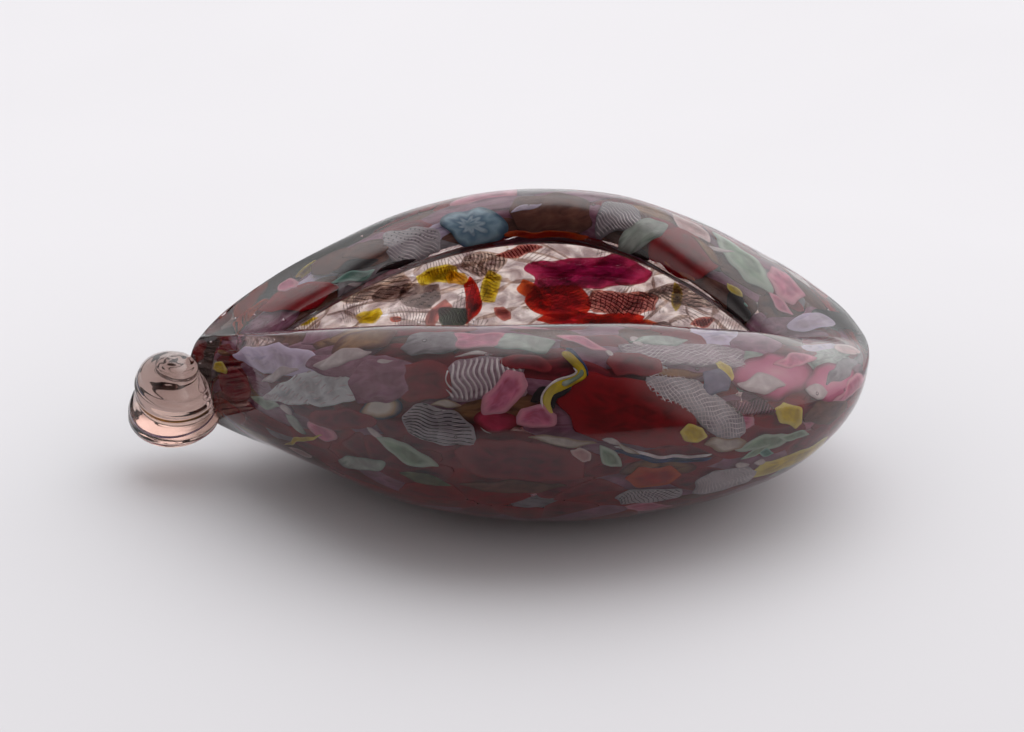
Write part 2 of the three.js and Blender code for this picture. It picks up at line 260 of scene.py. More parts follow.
def outline_reach(outline, turns, seed, wobble):
    """The reach of a piece's edge, softened at its corners and a little uneven, as molten glass leaves it."""
    if outline in CORNERS:
        fine = circle(720)
        reach = polygon_reach(CORNERS[outline], fine)
        shifts = range(-SOFT_CORNER, SOFT_CORNER + 1)
        soft = sum(np.roll(reach, shift) for shift in shifts) / len(shifts)
        reach = np.interp(np.mod(turns, 2 * math.pi), fine, np.minimum(soft, 1.25), period=2 * math.pi)
    elif outline == "pebble":
        reach = 1 / np.sqrt(np.cos(turns) ** 2 * 1.04 + np.sin(turns) ** 2) * (1 + 0.07 * np.sin(turns + 0.6))
    else:
        reach = np.ones(turns.shape)
    draw = random.Random(seed)
    for waves in (1, 2, 3, 4):
        size = wobble * draw.uniform(-1, 1) / waves**0.5
        reach = reach * (1 + size * np.sin(waves * turns + draw.uniform(0, 6.3)))
    return reach


class Piece:
    """One inlaid piece laid out flat: its plane, outline, half length, half width and bend."""

    def __init__(self, name, outline, degrees, level, length, width, turn, bend=0.0, depth=INLAY_DEPTH):
        self.name = name
        self.outline = outline
        self.plane = Plane(degrees, level, turn)
        self.half = (length / 2, width / 2)
        self.bend = bend
        self.depth = depth
        self.wobble = WOBBLE
        draw = random.Random(name + "sway")
        self.phases = [draw.uniform(0, 6.3) for _ in range(4)]

    def reach(self, turns):
        return outline_reach(self.outline, turns, self.name, self.wobble)

    def flowed(self, u, v):
        """Where a flat place of the piece lies after the soft glass has flowed and bent a little."""
        a, b, c, d = self.phases
        moved_u = u + FLOW * (np.sin(v * 0.5 + a) + 0.5 * np.sin(u * 0.3 + v * 0.7 + b))
        moved_v = v + FLOW * (np.sin(u * 0.33 + c) + 0.5 * np.sin(u * 0.6 - v * 0.3 + d))
        return moved_u, moved_v + self.bend * (1 - (u / self.half[0]) ** 2)

    def point(self, u, v, lift):
        angle, level = self.plane.places(*self.flowed(u, v))
        return wall_point(angle, level, self.depth - lift)

    def holds(self, u, v, share=0.97):
        turns = np.arctan2(v / self.half[1], u / self.half[0])
        return np.hypot(u / self.half[0], v / self.half[1]) <= share * self.reach(turns)


def add_plate(parts, piece, thickness=1.2, share=1.0, shift=(0, 0), rings=8, segments=56):
    """A lens-edged plate with the piece's outline, or a share of it about a shifted middle."""
    turns = circle(segments)
    reach = piece.reach(turns)
    steps = np.sin(np.linspace(0, 1, rings + 1) * math.pi / 2)
    out_and_back = np.concatenate([steps, steps[-2::-1]])
    upper = np.concatenate([np.ones(rings + 1), -np.ones(rings)])
    lift = upper * thickness / 2 * np.sqrt(np.maximum(0, 1 - out_and_back**5))
    u = out_and_back[:, None] * (reach * np.cos(turns))[None] * piece.half[0] * share + shift[0]
    v = out_and_back[:, None] * (reach * np.sin(turns))[None] * piece.half[1] * share + shift[1]
    rows = piece.point(u, v, np.broadcast_to(lift[:, None], u.shape))
    flat = np.stack([u, v], -1)
    rim = together(out_and_back[:, None], (turns / (2 * math.pi))[None])
    parts.add_rows(rows, flat, rim)


def add_cane(parts, piece, u, v, half_width, half_thickness, sides=8, lift=0.0):
    """A cane laid along flat places u, v, pointed at both ends."""
    du, dv = np.gradient(u), np.gradient(v)
    size = np.hypot(du, dv) + 1e-9
    around = circle(sides)
    width = np.broadcast_to(half_width, u.shape).copy()
    height = np.broadcast_to(half_thickness, u.shape).copy()
    width[[0, -1]] = 0
    height[[0, -1]] = 0
    across = np.cos(around)[None] * width[:, None]
    all_u = u[:, None] - dv[:, None] / size[:, None] * across
    all_v = v[:, None] + du[:, None] / size[:, None] * across
    rise = np.sin(around)[None] * height[:, None] + lift
    rows = piece.point(all_u, all_v, rise)
    length = np.concatenate([[0], np.cumsum(np.hypot(np.diff(u), np.diff(v)))])
    flat = together(length[:, None], across)
    rim = together((length / (length[-1] + 1e-9))[:, None], np.cos(around)[None])
    parts.add_rows(rows, flat, rim)


def add_threads(parts, piece, turn, spacing, radius, wave=0.0, wave_length=8.0, fan=0.0, dash=0.0, lift=0.0):
    """A family of threads across a piece: parallel or fanned, straight or waved, whole or in dashes."""
    span = math.hypot(*piece.half) * 1.1
    along = np.linspace(-span, span, int(2 * span / 0.7) + 2)
    count = int(span / spacing)
    for k in range(-count, count + 1):
        heading = math.radians(turn + fan * k)
        offset = k * spacing
        sway = wave * np.sin(2 * math.pi * along / wave_length)
        middle = math.radians(turn)
        u = -math.sin(middle) * offset + math.cos(heading) * along - math.sin(heading) * sway
        v = math.cos(middle) * offset + math.sin(heading) * along + math.cos(heading) * sway
        inside = piece.holds(u, v)
        if dash:
            inside &= np.mod(along + 0.37 * k * dash, 1.6 * dash) < dash
        edges = np.flatnonzero(np.diff(np.concatenate([[0], inside.astype(int), [0]])))
        for start, stop in zip(edges[::2], edges[1::2]):
            if stop - start >= 3:
                add_cane(parts, piece, u[start:stop], v[start:stop], radius, radius, sides=5, lift=lift)


# ---- Materials ----
def srgb(code):
    """A colour from its hexadecimal code, as linear values."""
    values = [int(code[i : i + 2], 16) / 255 for i in (0, 2, 4)]
    return [v / 12.92 if v <= 0.04045 else ((v + 0.055) / 1.055) ** 2.4 for v in values] + [1.0]


def add_node(tree, kind, inputs=(), **settings):
    """Adds a shader node; each input gets its value, or a link from the output that feeds it."""
    made = tree.nodes.new("ShaderNode" + kind)
    for key, value in settings.items():
        setattr(made, key, value)
    for key, value in dict(inputs).items():
        if isinstance(value, bpy.types.NodeSocket):
            tree.links.new(value, made.inputs[key])
        else:
            made.inputs[key].default_value = value
    return made


class Look:
    """A node material under construction."""

    def __init__(self, name):
        self.material = bpy.data.materials.new("look_" + name)
        self.material.use_nodes = True
        self.tree = self.material.node_tree
        self.tree.nodes.clear()
        self.output = self.node("OutputMaterial")

    def node(self, kind, inputs=(), **settings):
        return add_node(self.tree, kind, inputs, **settings)

    def coordinates(self, layer, scale=(1, 1)):
        """Flat coordinates of the piece, stretched by a scale for each axis."""
        flat = self.node("UVMap", uv_map=layer).outputs["UV"]
        return self.node("Mapping", {"Vector": flat, "Scale": (*scale, 1)}).outputs["Vector"]

    def noise(self, vector, scale, detail=3.0, distortion=0.6):
        inputs = {"Vector": vector, "Scale": scale, "Detail": detail, "Distortion": distortion}
        return self.node("TexNoise", inputs).outputs["Fac"]

    def ramp(self, factor, stops):
        """A colour for each value: stops are (place, colour code)."""
        made = self.node("ValToRGB", {"Fac": factor})
        elements = made.color_ramp.elements
        while len(elements) < len(stops):
            elements.new(0.5)
        for element, (place, code) in zip(elements, stops):
            element.position = place
            element.color = srgb(code)
        return made.outputs["Color"]

    def blend(self, factor, a, b, kind="MIX"):
        inputs = {"Factor": factor, 6: a, 7: b}
        return self.node("Mix", inputs, data_type="RGBA", blend_type=kind).outputs[2]

    def combine(self, operation, *values):
        """The outcome of a sum on values or outputs."""
        return self.node("Math", dict(enumerate(values)), operation=operation).outputs[0]

    def rim_share(self, start, stop):
        """How near a place is to its piece's rim: nought inside start, one beyond stop."""
        outwards = self.node("SeparateXYZ", {0: self.coordinates("piece_rim")}).outputs["X"]
        inputs = {"Value": outwards, "From Min": start, "From Max": stop}
        return self.node("MapRange", inputs, interpolation_type="SMOOTHSTEP").outputs[0]

    def surface(self, shader):
        self.tree.links.new(shader, self.output.inputs["Surface"])
        return self.material

    def glassy(self, colour, through, clear, soft):
        """Coloured glass in the wall: it scatters some light, lets some through, and is partly clear."""
        inputs = {"Base Color": colour, "Roughness": 0.35, "Specular IOR Level": 0.1}
        body = self.node("BsdfPrincipled", inputs)
        glow = self.node("BsdfTranslucent", {"Color": colour})
        shader = self.node("MixShader", {"Fac": through, 1: body.outputs[0], 2: glow.outputs[0]})
        if clear:
            share = clear
            if soft:
                inputs = {"Value": self.rim_share(0.72, 1.0), "To Min": clear, "To Max": max(soft, clear)}
                share = self.node("MapRange", inputs).outputs[0]
            gap = self.node("BsdfTransparent", {"Color": colour})
            shader = self.node("MixShader", {"Fac": share, 1: shader.outputs[0], 2: gap.outputs[0]})
        return self.surface(shader.outputs[0])

    def skinned(self, skin, tint, bending):
        """Smooth clear glass or air, with a faint tint that varies over its skin."""
        tone = self.ramp(skin, [(0.3, tint[0]), (0.7, tint[1])])
        inputs = {"Base Color": tone, "Roughness": 0.02, "Transmission Weight": 1.0, "IOR": bending}
        return self.node("BsdfPrincipled", inputs)


def streaked(name, tones, through, clear, rim=None, soft=0.0):
    """Sheet glass with streaks along the piece, cloudy patches, and a different tone towards its rim."""
    look = Look(name)
    fine = look.noise(look.coordinates("piece_flat", (0.06, 0.2)), 1.0, 4.0, 1.2)
    colour = look.ramp(fine, list(zip((0.32, 0.5, 0.68), tones.split())))
    cloud = look.noise(look.coordinates("piece_flat", (0.13, 0.17)), 1.0, 2.0, 0.5)
    shade = look.ramp(cloud, [(0.35, "d4ccce"), (0.65, "ffffff")])
    colour = look.blend(1.0, colour, shade, "MULTIPLY")
    if rim:
        rim_tone = look.ramp(fine, [(0.3, rim), (0.7, rim)])
        colour = look.blend(look.rim_share(0.5, 0.98), colour, rim_tone)
    return look.glassy(colour, through, clear, soft)


def ringed(name, stops, through=0.3, wobble=0.12, petals=0, reach=0.0):
    """A cane slice with rings of colour about its middle: stops are (share of the way out, colour code)."""
    look = Look(name)
    edge = look.node("SeparateXYZ", {0: look.coordinates("piece_rim")}).outputs
    wave = look.combine("SINE", look.combine("MULTIPLY", edge["Y"], 2 * math.pi * petals))
    folded = look.combine("MULTIPLY_ADD", wave, reach, edge["X"])
    uneven = look.noise(look.coordinates("piece_flat", (0.18, 0.25)), 1.0)
    shifted = look.combine("MULTIPLY_ADD", uneven, 2 * wobble, folded)
    colour = look.ramp(look.combine("SUBTRACT", shifted, wobble), stops)
    return look.glassy(colour, through, clear=0.08, soft=0.6)


def clear_glass(name, tint, absorb, density):
    """Clear glass with a faint tint, a little uneven at its skin."""
    look = Look(name)
    skin = look.noise(look.node("TexCoord").outputs["Object"], 30.0, 2.0, 0.3)
    body = look.skinned(skin, tint, 1.5)
    bump = look.node("Bump", {"Strength": 0.05, "Distance": 0.002, "Height": skin})
    look.tree.links.new(bump.outputs["Normal"], body.inputs["Normal"])
    inside = look.node("VolumeAbsorption", {"Color": srgb(absorb), "Density": density})
    look.tree.links.new(inside.outputs[0], look.output.inputs["Volume"])
    return look.surface(body.outputs[0])


def bubble_air():
    """A bubble of air in the glass, a little uneven at its skin."""
    look = Look("bubble")
    skin = look.noise(look.node("TexCoord").outputs["Object"], 200.0)
    return look.surface(look.skinned(skin, ("ffffff", "f4f0f2"), 0.67).outputs[0])


# Coloured glass by slot: its tones, the shares that it lets through and that are clear, the tone of its rim,
# and how clear the rim is.
# The lit_ glasses, for the back wall, are copies of others. They are clearer, which is real, and paler in
# tone, which is painted light: the paler tone stands in for the light shining through that wall.
SHEET_GLASS = {
    "ruby_glass": {
        "garnet": ("600a1c 941a30 760e24", 0.35, 0.15, "9c3038"),
        "ruby": ("7c000a a40412 88000c", 0.35, 0.12, "a40c18"),
        "lit_ruby": ("dc5460 e4646c cc4450", 0.6, 0.86, "ec7c64"),
    },
    "scarlet_glass": {
        "scarlet": ("b01810 cc3014 961010", 0.45, 0.1, "d05424"),
        "lit_scarlet": ("f48c60 fa9c70 e87850", 0.6, 0.88, "fcb080"),
    },
    "magenta_glass": {
        "magenta": ("c0508a cc6096 b04074", 0.6, 0.86, "e080a4"),
    },
    "rose_glass": {
        "rose": ("d0647e e88cac b84e6a", 0.35, 0.06, "f0b0c0", 0.4),
        "pale_rose": ("d49c9c e8c0bc c08484", 0.4, 0.15, "ecd4d0"),
        "lit_rose": ("e4a4a4 ecb4b0 d89494", 0.6, 0.9, "f0c4bc"),
    },
    "amber_glass": {
        "mauve": ("905870 b07c90 9c6480", 0.3, 0.1),
        "brown": ("5c3028 7c4c3c 6c3a30", 0.25, 0.1),
        "amber": ("9a6a44 b8885a 7c503a", 0.35, 0.1, "6c342c"),
        "lit_amber": ("fcd070 fcdc84 f4bc58", 0.6, 0.95, "fce49c"),
        "olive": ("5c6048 7c7c5c 484c38", 0.3, 0.15),
        "lit_olive": ("d4c89c dcd4ac bcac84", 0.5, 0.86, "f4ec9c"),
        "dark": ("1c1214 2c1c1e 140c0e", 0.2, 0.06),
    },
    "green_glass": {
        "green": ("7c9c80 a8bea2 8cac90", 0.35, 0.08, "d0dccc", 0.4),
        "sage": ("b0c0b2 ccd6ca 98aa9a", 0.35, 0.1, None, 0.4),
        "teal": ("447c6c 689c8c 34604f", 0.35, 0.1, "a0c4b8"),
        "lit_green": ("98ac98 a8bca8 889c88", 0.5, 0.86),
    },
    "yellow_glass": {
        "yellow": ("c8a818 ecd428 b89818", 0.4, 0.06, "e8d870"),
        "lit_yellow": ("fcec50 fef474 fae440", 0.7, 0.97, "fef6a0"),
    },
    "pale_glass": {
        "grey": ("948c90 b0a8ac 7e767a", 0.3, 0.15),
        "violet": ("7c7890 9890a8 5c5870", 0.3, 0.15),
        "lavender": ("d4c0dc f0e4f4 bcacd0", 0.4, 0.06, "e4d8ec"),
        "blue": ("ccd0d0 e4e8e6 b0b8bc", 0.35, 0.06, "eef2f0"),
        "white": ("dcd0cc f0e8e4 c8bab8", 0.3, 0.08, "c4b2b2"),
        "cream": ("d4ccbc e8e0d4 bcb0a0", 0.4, 0.06, "a88c74"),
        "lit_grey": ("e4dcd8 ece6e2 dad0ca", 0.5, 0.95),
        "navy": ("20284c 303c70 181e38", 0.2, 0.06),
    },
    "net_cane": {
        "milky": ("c8c0c4 dcd6da b8b0b4", 0.3, 0.25),
        "haze": ("fbf2ea fdf7f0 f6ece2", 0.5, 0.96),
        "shell": ("fcf4ec fefaf4 f8eee6", 0.55, 0.975),
        "mauve_net": ("b498a2 c8aeb8 a08490", 0.35, 0.1),
        "white_thread": ("dcd2d2 eee6e6 cabcbe", 0.2, 0.0),
        "grey_thread": ("b4a49a c4b6ac a49488", 0.4, 0.76),
        "dark_thread": ("201c1e 302a2c 181416", 0.1, 0.0),
        "red_thread": ("b43848 c04c5c a02c3c", 0.4, 0.6),
    },
    "flower_cane": {
        "white_rose": ("c42c50 d84468 a81c3c", 0.35, 0.06, "7c1424"),
    },
    "ochre_thread": {
        "ochre_thread": ("dcb838 e8c848 cca830", 0.5, 0.8),
    },
}


def make_looks():
    """The material and the slot of every look, by its name."""
    flower = [(0.0, "8cacc0"), (0.28, "d0e4ea"), (0.45, "7c9cb4"), (0.75, "b0d0dc"), (1.0, "7898b0")]
    eye = [(0.0, "d8d4cc"), (0.5, "e6e0d4"), (0.75, "c2a684"), (1.0, "5a6a90")]
    pink = [(0.0, "e8a0b4"), (0.5, "e078a0"), (0.85, "cc5880"), (1.0, "a83c60")]
    looks = {
        "casing": ("clear_casing_glass", clear_glass("casing", ("fbf8fa", "f6f2f4"), "b8a0ac", 20.0)),
        "bubble": ("clear_casing_glass", bubble_air()),
        "tail": ("tail_glass", clear_glass("tail", ("f8efec", "eee2de"), "c4a89c", 48.0)),
        "pink": ("flower_cane", ringed("pink", pink, 0.4, 0.2)),
        "flower": ("flower_cane", ringed("flower", flower, 0.4, 0.25, 9, 0.1)),
        "eye": ("flower_cane", ringed("eye", eye)),
    }
    for slot, glasses in SHEET_GLASS.items():
        for name, glass in glasses.items():
            looks[name] = (slot, streaked(name, *glass))
    return looks


LOOKS = make_looks()


def finished(parts, name, look, replaces=()):
    """Makes one object of the gathered parts, in a look; it rides on the root."""
    mesh = bpy.data.meshes.new(name)
    mesh.from_pydata((np.concatenate(parts.points) * MM).tolist(), [], parts.faces)
    loops = np.zeros(len(mesh.loops), np.int32)
    mesh.loops.foreach_get("vertex_index", loops)
    for layer, values in (("piece_flat", parts.flat), ("piece_rim", parts.rim)):
        uv = mesh.uv_layers.new(name=layer)
        uv.data.foreach_set("uv", np.concatenate(values)[loops].astype(np.float32).ravel())
    mesh.polygons.foreach_set("use_smooth", [True] * len(mesh.polygons))
    slot, material = LOOKS[look]
    mesh.materials.append(material)
    mesh.validate()
    mesh.update()
    piece = bpy.data.objects.new(name, mesh)
    bpy.context.scene.collection.objects.link(piece)
    turn_outward(mesh)
    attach(piece, "root")
    if replaces:
        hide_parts(*replaces)


# ---- The fused wall ----
# Waves of the hand-worked skin: height, waves round the bowl, waves up the wall, and share of the phase.
SKIN_WAVES = [(0.30, 5, 2.1, 1), (0.22, 9, -3.7, 2), (0.12, 16, 6.2, 3)]


def waviness(angle, level, phase):
    """How far the hand-worked skin stands off its form, nought at the ground base."""
    fade = np.clip((level - 1.05) / 0.4, 0, 1)
    return fade * sum(
        height * np.sin(around * angle + upward * level + share * phase)
        for height, around, upward, share in SKIN_WAVES
    )


def build_wall(around=320):
    """The clear wall: its outer face, the rounded nose of its lip, and its inner face."""
    angle = circle(around)
    levels = np.concatenate([
        np.linspace(0, 1, 7), np.linspace(1, 2, 44)[1:], np.linspace(2, 3, 30)[1:], np.linspace(3, 4, 26)[1:],
    ])

    def skin(depth, phase, outward):
        rows = []
        for level in levels:
            point = wall_point(angle, level, depth)
            upper = wall_point(angle, min(level + 0.01, 4), depth)
            lower = wall_point(angle, max(level - 0.01, 0), depth)
            tangent = wall_point(angle + 0.01, level, depth) - wall_point(angle - 0.01, level, depth)
            normal = unit(np.cross(tangent, upper - lower))
            rows.append(point + outward * normal * waviness(angle, level, phase)[:, None])
        return rows

    outer = skin(0.0, 0.4, 1)
    inner = skin(WALL, 1.7, 1)
    nose = []
    for share in np.linspace(0, 1, 13)[1:-1]:
        bend = share * math.pi
        point = mix(outer[-1], inner[-1], (1 - math.cos(bend)) / 2)
        nose.append(point - np.array([0, 0, LIP_NOSE * math.sin(bend)]))
    rows = np.array(outer + nose + inner[::-1])
    flat = together(angle[None] * 120, np.arange(len(rows))[:, None] * 1.0)
    parts = Parts()
    parts.add_rows(rows, flat, flat * 0)
    return finished(parts, "glass_wall", "casing", ["outer_casing", "inner_gather"])


# ---- The coiled tail ----
# The knob's outline from its top to its underside: share of the way down, radius, height.
KNOB = [
    (0.0, 0.0, 21.5), (0.07, 3.2, 20.6), (0.15, 7.6, 18.2), (0.25, 11.8, 14.4), (0.35, 14.6, 9.2),
    (0.45, 16.4, 4.0), (0.54, 17.6, -0.8), (0.62, 18.9, -5.0), (0.71, 19.2, -9.4), (0.80, 17.8, -13.2),
    (0.88, 13.8, -16.0), (0.95, 7.0, -17.4), (1.0, 0.0, -17.6),
]
GROOVE_TURNS = 2.9
GROOVE_DEPTH = 2.0
RIDGES = 0.16


def knob_point(share, turn, stand=0.0):
    """A place on the knob: share is the way down from its top, turn the way round it, stand off its skin."""
    marks, radii, heights = np.array(KNOB).T
    radius = np.interp(share, marks, radii)
    height = np.interp(share, marks, heights)
    phase = GROOVE_TURNS * share - turn / (2 * math.pi) + 0.1
    nearness = np.abs(phase - np.round(phase)) * 2
    fade = np.clip(share / 0.12, 0, 1) * np.clip((0.93 - share) / 0.08, 0, 1)
    dent = GROOVE_DEPTH * fade * np.exp(-((nearness / 0.32) ** 2))
    strand = RIDGES * fade * np.sin(2 * math.pi * 5 * phase) + 0.35 * fade * np.sin(2 * turn + 9 * share)
    radius = np.maximum(radius - dent + strand + stand * np.clip(radius / 6, 0, 1), 0)
    height = height + stand * (1 - np.clip(radius / 16, 0, 1)) * np.sign(height)
    return placed_coil(np.stack([radius * np.cos(turn), radius * np.sin(turn), height], -1))


def placed_coil(points):
    lean = math.radians(COIL["lean"])
    x, y, z = points[..., 0], points[..., 1], points[..., 2]
    leant_y = y * math.cos(lean) - z * math.sin(lean)
    leant_z = y * math.sin(lean) + z * math.cos(lean)
    return np.stack([x, leant_y, leant_z], -1) + np.array(COIL["centre"])


def build_coil(rows=170, sides=160):
    """The coiled knob, its groove smoothed a little as hot glass is."""
    share = np.linspace(0, 1, rows)
    turn = circle(sides)
    grid = knob_point(share[:, None], turn[None])
    for _ in range(3):
        grid[1:-1] = (grid[:-2] + 2 * grid[1:-1] + grid[2:]) / 4
    flat = together(turn[None] * 17, share[:, None] * 60)
    parts = Parts()
    parts.add_rows(grid, flat, flat * 0)
    finished(parts, "coiled_tail", "tail", ["tail_coil"])


def build_knob_thread(name, look, shares, turns, radius, stand, replaces):
    """A thread round the knob, from one share of the way down and turn to another."""
    along = np.linspace(0, 1, 100)
    middle = knob_point(mix(*shares, along), mix(*turns, along) * 2 * math.pi, stand)
    tangent = unit(np.gradient(middle, axis=0))
    side = unit(np.cross(tangent, np.array([0, 0, 1.0])))
    top = np.cross(side, tangent)
    around = circle(8)
    size = radius * np.sin(along * math.pi) ** 0.3
    size[[0, -1]] = 0
    across = side[:, None] * (np.cos(around)[None, :, None] * size[:, None, None])
    rise = top[:, None] * (np.sin(around)[None, :, None] * size[:, None, None])
    flat = together(along[:, None] * 60, around[None])
    parts = Parts()
    parts.add_rows(middle[:, None] + across + rise, flat, flat * 0)
    finished(parts, name, look, replaces)


# ---- Inlaid pieces ----
# Each: name, outline, degrees round the bowl, level, length, width, turn, look, and its bend if it has one.
INLAYS = [
    ("ruby_tip", "pebble", -154, 2.1, 24, 14, 0, "garnet"),
    ("pale_blue_fan", "fan", -132.5, 2.25, 70, 16, 14, "blue"),
    ("lavender_sheet", "leaf", -140, 2.52, 70, 12, 0, "lavender"),
    ("green_tip", "leaf", -143, 2.02, 22, 5, 0, "green"),
    ("rose_fleck", "oval", -129, 1.94, 17, 7, -5, "rose"),
    ("amber_streak", "ribbon", -122, 2.88, 26, 10, 12, "amber"),
    ("cream_eye_slice", "oval", -117.5, 2.22, 20, 9, 10, "eye"),
    ("green_leaf_shard", "leaf", -113, 1.92, 28, 9, -21, "green"),
    ("grey_sheet", "shard", -109.5, 2.86, 28, 12, 0, "grey"),
    ("striped_cane_slice", "panel", -108, 2.1, 31, 13, -9, "milky"),
    ("herringbone_cane_slice", "panel", -101, 2.5, 33, 16, 0, "mauve_net"),
    ("rose_streak", "ribbon", -102, 2.88, 25, 8, 0, "rose"),
    ("rose_shard", "shard", -97.5, 2.38, 22, 11, 40, "rose"),
    ("white_rose_chip", "pebble", -99, 2.16, 17, 8, 3, "white_rose"),
    ("garnet_panel", "panel", -96, 1.9, 50, 18, -6, "garnet"),
    ("pale_blue_streak", "ribbon", -95, 2.85, 24, 8, -8, "sage"),
    ("pink_shard", "shard", -92.5, 2.2, 16, 9, 7, "rose"),
    ("sage_chip", "leaf", -80.5, 1.92, 13, 7, -48, "green"),
    ("ruby_panel", "panel", -77.5, 2.22, 55, 24, -9, "ruby"),
    ("orange_shard", "shard", -72, 1.8, 22, 12, -8, "scarlet"),
    ("net_cane_ribbon", "ribbon", -65.5, 2.24, 50, 12, -31, "milky", 3),
    ("yellow_chip", "shard", -66, 2.02, 11, 7, -18, "yellow"),
    ("net_cane_sheet", "ribbon", -66, 2.74, 58, 10, 0, "mauve_net"),
    ("low_lattice_slice", "panel", -72, 1.66, 27, 11, -2, "milky"),
    ("lattice_slice", "panel", -56, 1.7, 29, 16, -6, "milky"),
    ("green_chip", "leaf", -50, 1.9, 30, 8, 0, "green"),
    ("pink_eye_slice", "pebble", -47, 2.52, 44, 18, 4, "pink"),
    ("yellow_shard", "shard", -45, 2.04, 17, 8, -34, "yellow"),
    ("amber_edge_shard", "ribbon", -39, 1.72, 42, 11, 4, "yellow"),
    ("pink_slice", "pebble", -30, 2.3, 38, 14, -2, "pink"),
    ("yellow_green_chip", "shard", 125.5, 1.84, 15, 7, -164, "lit_yellow"),
    ("white_filigree_slice", "fan", 126, 2.05, 48, 16, -167, "haze"),
    ("grey_lattice_slice", "panel", 115, 1.84, 21, 12, -167, "lit_grey"),
    ("yellow_lattice_slice", "shard", 111, 1.92, 23, 9, -172, "lit_yellow"),
    ("green_lattice_slice", "panel", 109.5, 1.68, 15, 9, -174, "lit_green"),
    ("red_shard", "shard", 106, 1.75, 22, 8, -80, "lit_ruby", -3),
    ("white_lattice_slice", "pebble", 102, 1.94, 22, 12, -176, "haze"),
    ("yellow_net_slice", "ribbon", 101, 1.8, 15, 8, -70, "lit_yellow"),
    ("scarlet_panel", "panel", 80, 1.62, 50, 7, 176, "lit_ruby"),
    ("magenta_panel", "ribbon", 82, 1.87, 55, 15, 170, "magenta", 1),
    ("rose_lattice_slice", "panel", 74, 1.72, 34, 11, 177, "lit_rose"),
    ("cream_lattice_slice", "fan", 60, 1.82, 48, 15, 168, "haze"),
    ("crimson_fold_shard", "leaf", 147, 3.4, 38, 12, 160, "ruby"),
    ("brick_fold_shard", "ribbon", 131.5, 3.25, 36, 11, 165, "brown"),
    ("net_fold_slice", "panel", 118.5, 3.52, 26, 14, 170, "milky"),
    ("blue_flower_slice", "oval", 106, 3.52, 27, 16, 176, "flower"),
    ("mauve_fold_sheet", "panel", 90.5, 3.45, 36, 18, 183, "brown"),
    ("dark_lattice_slice", "panel", 74, 3.3, 20, 15, 200, "grey"),
    ("sage_fold_shard", "shard", 66.8, 3.5, 22, 12, 222, "sage"),
    ("ruby_fold_panel", "panel", 55.5, 3.45, 31, 18, 174, "ruby"),
    ("green_fold_shard", "leaf", 45.5, 2.98, 44, 14, 162, "green"),
    ("pink_fold_shard", "shard", 33, 2.9, 26, 14, 150, "rose"),
]

